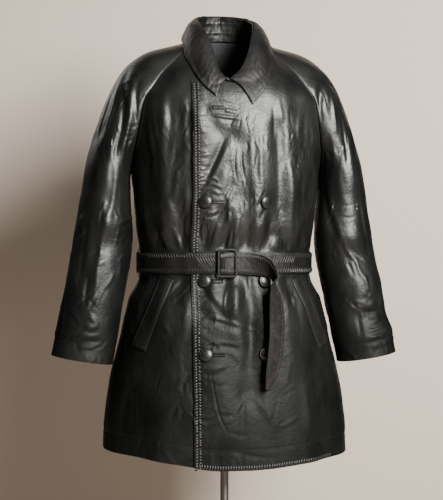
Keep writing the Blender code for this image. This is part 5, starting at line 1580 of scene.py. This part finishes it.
def make_collar_stand():
    places = np.linspace(-1, 1, COLLAR_COLUMNS + 1)
    low = neck_points(places)
    low[:, 2] += STAND_LIFT
    high = collar_line(places, "fold")
    high -= STAND_INSET * unit((high - NECK_AXIS) * LEVEL)
    high[:, 2] -= COLLAR_WALL + 2 * TRIM_GAP
    t = np.linspace(0, 1, STAND_ROWS)[:, None, None]
    outer = (1 - t) * low + t * high
    normals = grid_normals(outer)
    outward = np.sum(normals * (outer - NECK_AXIS) * LEVEL, axis=-1)
    normals = np.where(outward[..., None] < 0, -normals, normals)
    run, rise = np.meshgrid(places * COLLAR_REACH[0], np.linspace(0, 0.05, STAND_ROWS))
    wave = sum(soft_noise(run, rise, *uneven) for uneven in STAND_WAVES)
    seam = sum(bell(rise - height, 0.0016) for height in STAND_SEAMS)
    ends = soft_step((1 - np.abs(places)) / 0.03)[None, :]
    inward = (np.abs(wave) * ends + 0.0008 * seam)[..., None]
    return add_wall("collar_stand", outer, outer - (STAND_WALL + inward) * normals, [TRIM_LEATHER])


def tree_of(grids):
    """One tree of the outer faces of several grids of points."""
    points, faces = [], []
    for grid in grids:
        start = len(points)
        points.extend(Vector(p) for p in grid.reshape(-1, 3))
        faces.extend((grid_faces(*grid.shape[:2]) + start).tolist())
    return BVHTree.FromPolygons(points, faces)


def held_off(points, tree, distance):
    """Moves each point that lies nearer than this to the faces below it straight out of them."""
    moved = points.copy().reshape(-1, 3)
    for index in range(len(moved)):
        for _ in range(3):
            spot = Vector(moved[index])
            place, normal, _, _ = tree.find_nearest(spot)
            if normal.dot(Vector((place.x, place.y + 0.02, 0.12))) < 0:
                normal = -normal
            gap = (spot - place).dot(normal)
            if gap < distance and (spot - place).length < 0.03:
                moved[index] += np.array(normal) * (distance - gap)
    return moved.reshape(points.shape)


def make_collar_fall(coat):
    places = np.linspace(-1, 1, COLLAR_COLUMNS + 1)
    fold = collar_line(places, "fold")
    edge = collar_line(places, "edge")
    roll = COLLAR.at("roll", 1 - np.abs(places))[:, None]
    outward = unit((fold - NECK_AXIS) * LEVEL)
    shoulder = fold + (edge - fold) * COLLAR_SHOULDER + outward * roll + np.array([0, 0, 0.002])
    t = np.linspace(0, 1, COLLAR_STEPS + 1)[:, None, None]
    outer = (1 - t) ** 2 * fold + 2 * t * (1 - t) * shoulder + t**2 * edge
    start = COLLAR_STEPS // 3
    lower = held_off(outer[start:], coat, COLLAR_WALL + COLLAR_CLEARANCE)
    outer = np.concatenate([outer[:start], lower])
    normals = grid_normals(outer)
    if normals[0, COLLAR_COLUMNS // 2, 2] < 0:
        normals = -normals
    run, rise = np.meshgrid(places * COLLAR_REACH[0], t[:, 0, 0] * COLLAR_REACH[1])
    away = np.minimum(COLLAR_REACH[1] - rise, (1 - np.abs(places))[None, :] * COLLAR_REACH[0])
    free = soft_step(away / 0.005)
    creases = COLLAR_CREASE_SHARE * crease_field(run, rise, COLLAR_ROWS)
    creases = creases + np.abs(soft_noise(run, rise, 44, *COLLAR_WAVE))
    groove = -0.0008 * bell(away - COLLAR_STITCH_INSET, 0.0012)
    rounding = -0.0012 * bell(away, 0.0013)
    out = (np.maximum(creases, -0.0006) * free + groove + rounding)[..., None]
    top = outer + out * normals
    obj = add_wall("collar_fall", top, outer - COLLAR_WALL * normals, [TRIM_LEATHER])
    row = min(int(round((1 - COLLAR_STITCH_INSET / COLLAR_REACH[1]) * COLLAR_STEPS)), COLLAR_STEPS)
    first = int(COLLAR_STITCH_INSET / COLLAR_REACH[0] / 2 * COLLAR_COLUMNS) + 1
    lines = [(top[row, first:-first], normals[row, first:-first])]
    for column in (first, COLLAR_COLUMNS - first):
        lines.append((top[4:row + 1, column], normals[4:row + 1, column]))
    add_stitches("collar_stitches", lines)
    return obj


PATCH_EDGE = 0.0022


def patch_grid(across, along, origin, direction, thickness, lift, side=1, round_edge=PATCH_EDGE):
    """Outer and inner points of a flat leather piece on a front, thinner at its edges."""
    wide, long = np.meshgrid(across, along, indexing="ij")
    run = np.array(direction) / np.hypot(*direction)
    x = origin[0] + long * run[0] - wide * run[1]
    z = origin[1] + long * run[1] + wide * run[0]
    points, normals = on_front(side * x, z, side == 1)
    beside = np.minimum(wide - across[0], across[-1] - wide)
    edge = np.minimum(beside, np.minimum(long - along[0], along[-1] - long))
    full = 0.45 + 0.55 * np.sqrt(np.clip(edge / round_edge, 0, 1))
    inner = points + lift * normals
    outer = inner + (thickness * full)[..., None] * normals
    return outer, inner, normals


def make_welts():
    run = (WELT_BOTTOM[0] - WELT_TOP[0], WELT_BOTTOM[1] - WELT_TOP[1])
    across = np.linspace(-WELT_WIDTH / 2, WELT_WIDTH / 2, 25)
    along = np.linspace(0, math.hypot(*run), 110)
    chains = []
    for side, name in ((1, "pocket_welt_left"), (-1, "pocket_welt_right")):
        outer, inner, normals = patch_grid(across, along, WELT_TOP, run, WELT_WALL, WELT_LIFT, side)
        flat = 0 * outer[..., 0]
        wave = soft_noise(along[None, :] + flat, across[:, None] + flat, 45, *SMALL_WAVE)
        groove = 0.0008 * bell(np.abs(across) - WELT_WIDTH / 2 + WELT_STITCH_INSET, 0.0011)[:, None]
        outer = outer + (np.abs(wave) - groove)[..., None] * normals
        add_wall(name, outer, inner, [TRIM_LEATHER])
        for column in (3, 21):
            chains.append((outer[column, 4:-4], normals[column, 4:-4]))
        for row in (5, len(along) - 6):
            chains.append((outer[3:22, row], normals[3:22, row]))
    add_stitches("welt_stitches", chains)


def make_buttonholes():
    half_length, half_width = BUTTONHOLE_SIZE[0] / 2, BUTTONHOLE_SIZE[1] / 2
    across = np.linspace(-half_width, half_width, 19)
    along = np.linspace(-half_length, half_length, 49)
    in_slot = np.abs((across[:-1] + across[1:]) / 2) < BUTTONHOLE_SLOT[1] / 2
    slot = in_slot[:, None] & (np.abs((along[:-1] + along[1:]) / 2)[None, :] < BUTTONHOLE_SLOT[0] / 2)
    for name, z in BUTTONHOLE_HEIGHTS.items():
        place = (BUTTONHOLE_X, z)
        outer, inner, normals = patch_grid(across, along, place, (1, 0), 0.0009, TRIM_GAP, 1, 0.0014)
        lip = bell(np.abs(across) - 0.0022, 0.0016)[:, None]
        reach = soft_step((half_length - 0.0008 - np.abs(along)) / 0.002)[None, :]
        rest = bell(np.abs(across) - 0.0036, 0.0006)[:, None]
        outer = outer + (0.0010 * lip * reach - 0.0004 * rest * reach)[..., None] * normals
        add_wall(f"buttonhole_{name}", outer, inner, [TRIM_LEATHER], leave_out=slot)


def lathe(profile, sides=48):
    """Points and faces of a piece turned round Z; the profile is (radius, height) from foot to top."""
    turn = 2 * math.pi * np.arange(sides) / sides
    rings = np.array([[(r * math.cos(a), r * math.sin(a), z) for a in turn] for r, z in profile])
    rows = len(profile)
    index = np.arange(rows * sides).reshape(rows, sides)
    after = np.roll(index, -1, axis=1)
    quads = np.stack([index[:-1], after[:-1], after[1:], index[1:]], axis=-1).reshape(-1, 4)
    return rings.reshape(-1, 3), quads


def framed(points, place, normal):
    """Points in a frame whose Z is the normal and whose Y leans up, moved to a place."""
    aside = unit(np.cross([0, 0, 1.0], normal))
    up = np.cross(normal, aside)
    return place + points[:, :1] * aside + points[:, 1:2] * up + points[:, 2:] * normal


def make_buttons():
    profile = [(share * BUTTON_RADIUS if share > 0 else CLOSED, z) for share, z in BUTTON_PROFILE]
    points, faces = lathe(profile)
    for row, z in BUTTON_HEIGHTS.items():
        for side, hand in ((1, "left"), (-1, "right")):
            node = f"button_{row}_{hand}"
            lowest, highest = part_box(node)
            _, normal = on_front(np.array(side * BUTTON_X), np.array(z))
            middle = (np.array(lowest) + np.array(highest)) / 2
            seat = middle - BUTTON_HEIGHT / 2 * normal
            obj = add_piece(node, framed(points, seat, normal), faces, [GLOSS], angle=70)
            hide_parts(node)


def waist_radius(angle):
    """The coat's outer radius under the belt, which bridges the step at the lapped edge."""
    plain = plain_radius(angle, WAIST)
    x = plain * np.sin(angle)
    lap = lap_lift(x, WAIST) * soft_step((x + LAP + 0.032) / 0.030)
    return plain + np.where(np.cos(angle) > 0, lap, 0.0)


def edge_braid(outer, normals, columns):
    """Short slanted strands along both long edges of a strip."""
    lines = []
    for rows in ((1, 2, 4), (-2, -3, -5)):
        for column in columns:
            reach = [min(column + step, outer.shape[1] - 1) for step in range(3)]
            lines.append((outer[rows, reach], normals[rows, reach]))
    return lines


def make_belt():
    start = float(angle_at(BUCKLE_X + 0.004, np.array(WAIST)))
    end = 2 * math.pi + float(angle_at(BUCKLE_X - 0.004, np.array(WAIST)))
    angle = np.linspace(start, end, BELT_COLUMNS)
    share = np.linspace(-1, 1, STRAP_ROWS)
    height = WAIST + share[:, None] * BELT_WIDTH / 2 + 0 * angle
    inner_radius = waist_radius(angle)[None, :] + BELT_GAP + 0 * height
    run = angle[None, :] * 0.16 + 0 * height
    wave = np.abs(soft_noise(run, height, 46, *BELT_WAVE))
    away = (1 - np.abs(share))[:, None] * BELT_WIDTH / 2 + 0 * height
    groove = 0.0005 * bell(away - 0.0040, 0.0009)
    rounding = 0.0013 * bell(away, 0.0010)
    outer_radius = inner_radius + BELT_WALL + wave * soft_step(away / 0.005) - groove - rounding
    inner = ring_points(angle, inner_radius, height)
    outer = ring_points(angle, outer_radius, height)
    add_wall("belt_band", outer, inner, [TRIM_LEATHER, SUEDE])
    normals = grid_normals(outer)
    if np.sum(normals[..., :2] * outer[..., :2]) < 0:
        normals = -normals
    chains = [(outer[row], normals[row]) for row in STRAP_STITCH_ROWS]
    add_stitches("belt_stitches", chains, *STRAP_STITCHES)
    lines = []
    across = outer[8, :, 0]
    front = outer[8, :, 1] < 0
    for centre, rising in HERRINGBONES:
        columns = np.nonzero((np.abs(across - centre) < HERRINGBONE_REACH) & front)[0]
        for column in columns[::3]:
            reach = [min(column + step * rising, outer.shape[1] - 1) for step in (0, 2, 4)]
            for low, high in ((3, 8), (13, 8)):
                rows = [low, int(round((low + high) / 2)), high]
                lines.append((outer[rows, reach], normals[rows, reach]))
    seen = np.nonzero(front & (np.abs(across) < BRAID_REACH))[0]
    lines += edge_braid(outer, normals, seen[2:-2:3])
    place, normal = joined(lines, np.array)
    strands("belt_herringbone", place + BRAID_LIFT * normal, normal, 0.0022, 0.0018, LACE)


def make_tail():
    steps = np.linspace(TAIL.values[0, 0], TAIL.values[-1, 0], TAIL_COLUMNS)
    coarse = np.linspace(TAIL.values[0, 0], TAIL.values[-1, 0], TAIL_KEYS)
    x, z = TAIL.at("x", coarse), TAIL.at("z", coarse)
    base = np.empty((len(coarse), 3))
    outward = np.empty((len(coarse), 3))
    for index in range(len(coarse)):
        height = WAIST if z[index] > BELT_FOOT else z[index]
        angle = angle_at(x[index], np.array(height, float))
        base[index], outward[index] = body_point(angle, height, True), body_normal(angle, height, True)
        base[index, 2] = z[index]
    outward[:, 2] = 0
    outward = unit(outward)
    middle = base + outward * TAIL.at("out", coarse)[:, None]
    run = unit(np.gradient(np.stack([x, z], axis=1), axis=0))
    aside = np.stack([-run[:, 1], 0 * x, run[:, 0]], axis=1)
    turn = np.radians(TAIL.at("turn", coarse))[:, None]
    breadth = np.cos(turn) * aside + np.sin(turn) * outward
    along = np.gradient(middle, axis=0)
    face = unit(np.cross(along, breadth))
    breadth = unit(np.cross(face, along))
    fine = between(steps, coarse, middle)
    for _ in range(6):
        fine[1:-1] = (fine[:-2] + 2 * fine[1:-1] + fine[2:]) / 4
    face = unit(between(steps, coarse, face))
    breadth = unit(between(steps, coarse, breadth))
    half = TAIL.at("width", steps) / 2
    share = np.linspace(-1, 1, STRAP_ROWS)
    curl = (0.0016 * (1 - share[:, None] ** 2) * soft_step((steps - 6) / 3)[None, :])[..., None]
    across = share[:, None] * half[None, :]
    line = fine[None] + across[..., None] * breadth[None] - curl * face[None]
    lengths = np.arange(len(steps)) * 0.0027
    wave = np.abs(soft_noise(lengths[None, :] + 0 * across, across, 47, *TAIL_WAVE))
    away = (1 - np.abs(share))[:, None] * half[None, :]
    rounding = 0.0008 * bell(away, 0.0010)
    outer = line + (TAIL_WALL / 2 + wave - rounding)[..., None] * face
    inner = line - (TAIL_WALL / 2 - rounding * 0.6)[..., None] * face
    obj = add_wall("belt_tail", outer, inner, [TRIM_LEATHER, SUEDE])
    normals = np.broadcast_to(face[None], outer.shape)
    chains = [(outer[row, :-6], normals[row, :-6]) for row in STRAP_STITCH_ROWS]
    chains += [(inner[row, :-6], -normals[row, :-6]) for row in STRAP_STITCH_ROWS]
    add_stitches("tail_stitches", chains, *STRAP_STITCHES)
    columns = range(2, outer.shape[1] - 10, 2)
    braid = edge_braid(outer, normals, columns) + edge_braid(inner, -normals, columns)
    place, normal = joined(braid, np.array)
    strands("tail_braid", place + BRAID_LIFT * normal, normal, 0.0026, 0.0020, LACE)


def make_buckle():
    lowest, highest = (np.array(corner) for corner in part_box("buckle_frame"))
    angle = angle_at(BUCKLE_X, np.array(WAIST))
    normal = unit(body_normal(angle, WAIST, True) * LEVEL)
    half_x, half_z = ((size - BUCKLE_BAR) / 2 - BUCKLE_CORNER for size in BUCKLE_SIZE)
    path = []
    for side, end, begin in ((1, 1, 0), (-1, 1, 90), (-1, -1, 180), (1, -1, 270)):
        for turn in np.radians(begin + np.linspace(0, 90, 9)):
            corner = (BUCKLE_CORNER * math.cos(turn), BUCKLE_CORNER * math.sin(turn))
            path.append((side * half_x + corner[0], end * half_z + corner[1]))
    path = np.array(path)
    middle = (lowest + highest) / 2
    around = 2 * math.pi * np.arange(14) / 14
    ahead = unit(np.roll(path, -1, axis=0) - np.roll(path, 1, axis=0))
    side_way = np.stack([ahead[:, 1], -ahead[:, 0]], axis=1)
    shape_x = np.sign(np.cos(around)) * np.abs(np.cos(around)) ** BUCKLE_SQUARENESS * BUCKLE_BAR / 2
    shape_y = np.sign(np.sin(around)) * np.abs(np.sin(around)) ** BUCKLE_SQUARENESS * BUCKLE_HALF_DEPTH
    flat = path[:, None, :] + shape_x[None, :, None] * side_way[:, None, :]
    points = np.concatenate([flat, np.broadcast_to(shape_y[None, :, None], (len(path), 14, 1))], axis=-1)
    index = np.arange(len(path) * 14).reshape(len(path), 14)
    after = np.roll(index, -1, 1)
    quads = np.stack([index, after, np.roll(after, -1, 0), np.roll(index, -1, 0)], -1)
    world = framed(points.reshape(-1, 3), middle, normal)
    faces = quads.reshape(-1, 4)
    if volume_of(world, faces) < 0:
        faces = faces[:, ::-1]
    obj = add_piece("buckle_frame", world, faces, [TRIM_LEATHER], angle=70)
    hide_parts("buckle_frame")


def make_loops():
    rise = BELT_GAP + BELT_WALL + 0.0012
    half = LOOP_HEIGHT / 2
    profile = [(-half, 0.0008), (-half + 0.006, 0.0010), (-half + 0.010, rise), (0, rise)]
    path = profile + [(-z, out) for z, out in reversed(profile[:-1])]
    height = WAIST + np.array([z for z, _ in path])
    out = np.array([o for _, o in path])
    heights = np.linspace(height[0], height[-1], 81)
    outs = np.interp(heights, height, out)
    for _ in range(4):
        outs[1:-1] = (outs[:-2] + 2 * outs[1:-1] + outs[2:]) / 4
    for side, name in ((1, "belt_loop_left"), (-1, "belt_loop_right")):
        share = np.linspace(-1, 1, 11)
        angle = side * math.pi / 2 + share * LOOP_WIDTH / 2 / BODY.at("half_width", WAIST)
        waist = plain_radius(angle[None, :], WAIST)
        radius = waist + outs[:, None]
        flare = np.maximum(plain_radius(angle[None, :], heights[:, None]) - waist, 0)
        tall = heights[:, None] + 0 * radius
        wall = 0.0018 - 0.0007 * bell(1 - np.abs(share), 0.12)[None, :]
        inner = ring_points(angle, radius + flare, tall)
        outer = ring_points(angle, radius + flare + wall, tall)
        add_wall(name, outer, inner, [TRIM_LEATHER])


def make_form():
    """A limbless torso whose neck is left out, low between its shoulders."""
    angle = np.arange(FORM_SIDES + 1) * 2 * math.pi / FORM_SIDES
    rows = []
    for height in np.concatenate([[FORM_BOTTOM], np.linspace(FORM_BOTTOM + 0.008, FORM_TOP, 70)]):
        share = FORM_FOOT_SHARE if height == FORM_BOTTOM else 1.0
        depth = np.where(np.cos(angle) > 0, FORM.at("front_depth", height), FORM.at("back_depth", height))
        radius = share * superellipse(angle, FORM.at("half_width", height), depth, FORM_SQUARENESS)
        rows.append(np.stack([radius * np.sin(angle), -radius * np.cos(angle), height + 0 * angle], axis=-1))
    for share in np.concatenate([np.linspace(0.97, 0.06, 34), [0.001]]):
        ring = rows[70].copy()
        ring[:, :2] *= share
        ridge = FORM_RIDGE.at("height", np.abs(ring[:, 0]))
        slope = 1 - (np.abs(ring[:, 1]) / FORM.at("front_depth", FORM_TOP)) ** 2
        ring[:, 2] = FORM_TOP + (ridge - FORM_TOP) * np.clip(slope, 0, 1) * (1 - share**FORM_TOP_POWER)
        rows.append(ring)
    foot = rows[0].copy()
    foot[:, :2] *= 0.001
    grid = np.stack([foot] + rows)
    faces = grid_faces(*grid.shape[:2], wrapped_rows=len(grid))
    points = grid.reshape(-1, 3)
    if volume_of(points, faces) < 0:
        faces = faces[:, ::-1]
    used = np.zeros(len(points), bool)
    used[faces.ravel()] = True
    obj = add_piece("dress_form", points[used], (np.cumsum(used) - 1)[faces], [JERSEY], angle=60)
    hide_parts("dress_form")


def turned(name, profile, material, slot, sides):
    points, faces = lathe([(max(radius, CLOSED), z) for radius, z in profile], sides)
    obj = add_piece(name, points, faces, [material], angle=35)
    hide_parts(name)


def make_stand():
    top = FORM_BOTTOM - 0.0004
    foot = BASE_HEIGHT + 0.0004
    turned("pole", (
        (0, foot), (0.016, foot), (0.0172, foot + 0.001), (0.0172, foot + 0.016), (0.0160, foot + 0.0175),
        (0.0098, foot + 0.0178), (POLE_RADIUS, foot + 0.0190), (POLE_RADIUS, top - 0.006),
        (POLE_RADIUS, top), (0, top),
    ), STEEL, "steel", 48)
    turned("base", (
        (0, 0.0), (BASE_RADIUS - 0.001, 0.0), (BASE_RADIUS, 0.001), (BASE_RADIUS, BASE_HEIGHT - 0.004),
        (BASE_RADIUS - 0.0012, BASE_HEIGHT - 0.0012), (BASE_RADIUS - 0.004, BASE_HEIGHT), (0, BASE_HEIGHT),
    ), PAINTED, "painted", 128)


def make_lacing():
    """Two columns of slanted strands down the lapped edge, and whipstitches along the left front's hem."""
    rng = np.random.default_rng(5)
    z = np.arange(HEM + 0.004, LACE_TOP, 0.0055)
    t = np.linspace(0, 1, 7)
    arch = (0.0003 + 0.0009 * np.sin(math.pi * t) ** 0.7)[None, :, None]
    lines = []
    for column, (start, end, rise) in enumerate(LACE_COLUMNS):
        jitter = 0.0007 * rng.standard_normal((len(z), 1))
        x = -LAP + 0.083 + start + (end - start) * t[None, :] + 0 * z[:, None]
        tall = z[:, None] + jitter + rise * (t[None, :] - 0.5) + 0.0018 * column
        points, normals = on_front(x, tall)
        lines.append((points + arch * normals, normals))
    x = np.arange(-0.080, HEM_LACE_END, 0.0050)
    foot = HEM + hem_rise(angle_at(x, HEM + 0 * x), HEM) + 0.0012
    points, normals = on_front(x[:, None] + 0.0022 * t[None, :], foot[:, None] + 0.0085 * t[None, :])
    lines.append((points + arch * normals, normals))
    strands("edge_lacing", *joined(lines), 0.0034, 0.0013, LACE)


def make_seam_stitches(fronts, back, sleeves):
    chains = []
    below = len(SIDE_HEIGHTS)
    for side, column in ((-1, -4), (1, 3)):
        chains.append((fronts[side]["outer"][below:-1, -4], fronts[side]["normals"][below:-1, -4]))
        chains.append((back["outer"][below:-1, column], back["normals"][below:-1, column]))
    add_stitches("raglan_stitches", chains, pitch=0.0044)
    hems = []
    row = int(np.argmin(np.abs(np.array(SIDE_HEIGHTS) - HEM - HEM_FOLD - 0.0005)))
    for grid in (fronts[1], fronts[-1], back):
        hems.append((grid["outer"][row, 1:-1], grid["normals"][row, 1:-1]))
    cuff = int(round(CUFF_FOLD / TUBE_LENGTH * (len(TUBE_PLACES) - 1)))
    for side in (-1, 1):
        hems.append((sleeves[side]["outer"][cuff], sleeves[side]["normals"][cuff]))
    add_stitches("hem_stitches", hems, length=0.0028, pitch=0.0048, lift=0.0001)


def set_camera():
    right = Vector((*RIGHT_WAY, 0))
    ahead = Vector((*AHEAD_WAY, 0))
    camera = bpy.data.cameras.new("camera")
    camera.sensor_fit = "VERTICAL"
    camera.sensor_height = 36
    camera.lens = CAMERA_LENS
    camera.clip_start = 0.1
    obj = linked("camera", camera)
    obj.location = -CAMERA_DISTANCE * ahead - CAMERA_ASIDE * right + Vector((0, 0, CAMERA_HEIGHT))
    obj.rotation_mode = "QUATERNION"
    obj.rotation_quaternion = ahead.to_track_quat("-Z", "Y")
    bpy.context.scene.camera = obj


def add_light(name, azimuth, elevation, distance, size, power, colour, aim):
    """A soft panel. Azimuth goes from the camera's side (0) to the wearer's left (90)."""
    light = bpy.data.lights.new(name, "AREA")
    light.shape = "RECTANGLE"
    light.size, light.size_y = size
    light.energy = power
    light.color = colour
    turn, lift = math.radians(azimuth), math.radians(elevation)
    way = Vector((math.sin(turn) * math.cos(lift), -math.cos(turn) * math.cos(lift), math.sin(lift)))
    obj = linked(name, light)
    obj.location = Vector(aim) + distance * way
    obj.rotation_mode = "QUATERNION"
    obj.rotation_quaternion = (-way).to_track_quat("-Z", "Y")


def set_stage():
    world = bpy.data.worlds.new("studio")
    world.use_nodes = True
    background = world.node_tree.nodes["Background"]
    background.inputs["Color"].default_value = WORLD_COLOUR
    background.inputs["Strength"].default_value = WORLD_STRENGTH
    bpy.context.scene.world = world
    floor = bpy.data.materials.new("floor")
    floor.use_nodes = True
    shader = floor.node_tree.nodes["Principled BSDF"]
    shader.inputs["Base Color"].default_value = STAGE_COLOUR
    shader.inputs["Roughness"].default_value = STAGE_ROUGHNESS
    ahead = np.array(AHEAD_WAY)
    right = np.array(RIGHT_WAY)
    cove = [(BACKDROP_BEHIND - COVE_RADIUS, 0.0005)]
    for turn in np.radians(np.linspace(10, 90, 12)):
        rise = COVE_RADIUS - COVE_RADIUS * math.cos(turn)
        cove.append((BACKDROP_BEHIND - COVE_RADIUS + COVE_RADIUS * math.sin(turn), rise))
    cove.append((BACKDROP_BEHIND, BACKDROP_TOP))
    flat = [(-FLOOR_HALF, 0.0), (FLOOR_HALF, 0.0)]
    for name, profile, half in (("floor", flat, FLOOR_HALF), ("backdrop", cove, BACKDROP_HALF)):
        widths = (-half, 0.0, half)
        grid = np.array([
            [(*(deep * ahead + wide * right), tall) for wide in widths] for deep, tall in profile
        ])
        mesh = bpy.data.meshes.new(name)
        mesh.from_pydata([tuple(p) for p in grid.reshape(-1, 3)], [], grid_faces(*grid.shape[:2]).tolist())
        mesh.materials.append(floor)
        mesh.shade_smooth()
        linked(name, mesh)


set_camera()
set_stage()
for light in LIGHTS:
    add_light(*light)

sleeves = make_sleeves()
fronts = make_fronts(sleeves)
back = make_back(sleeves)
lining = make_lining()
stand = make_collar_stand()
panels = (fronts[1], fronts[-1], back, sleeves[1], sleeves[-1])
fall = make_collar_fall(tree_of([panel["outer"][::2, ::2] for panel in panels]))
make_welts()
make_buttonholes()
make_buttons()
make_belt()
make_tail()
make_buckle()
make_loops()
make_form()
make_stand()
make_lacing()
make_seam_stitches(fronts, back, sleeves)
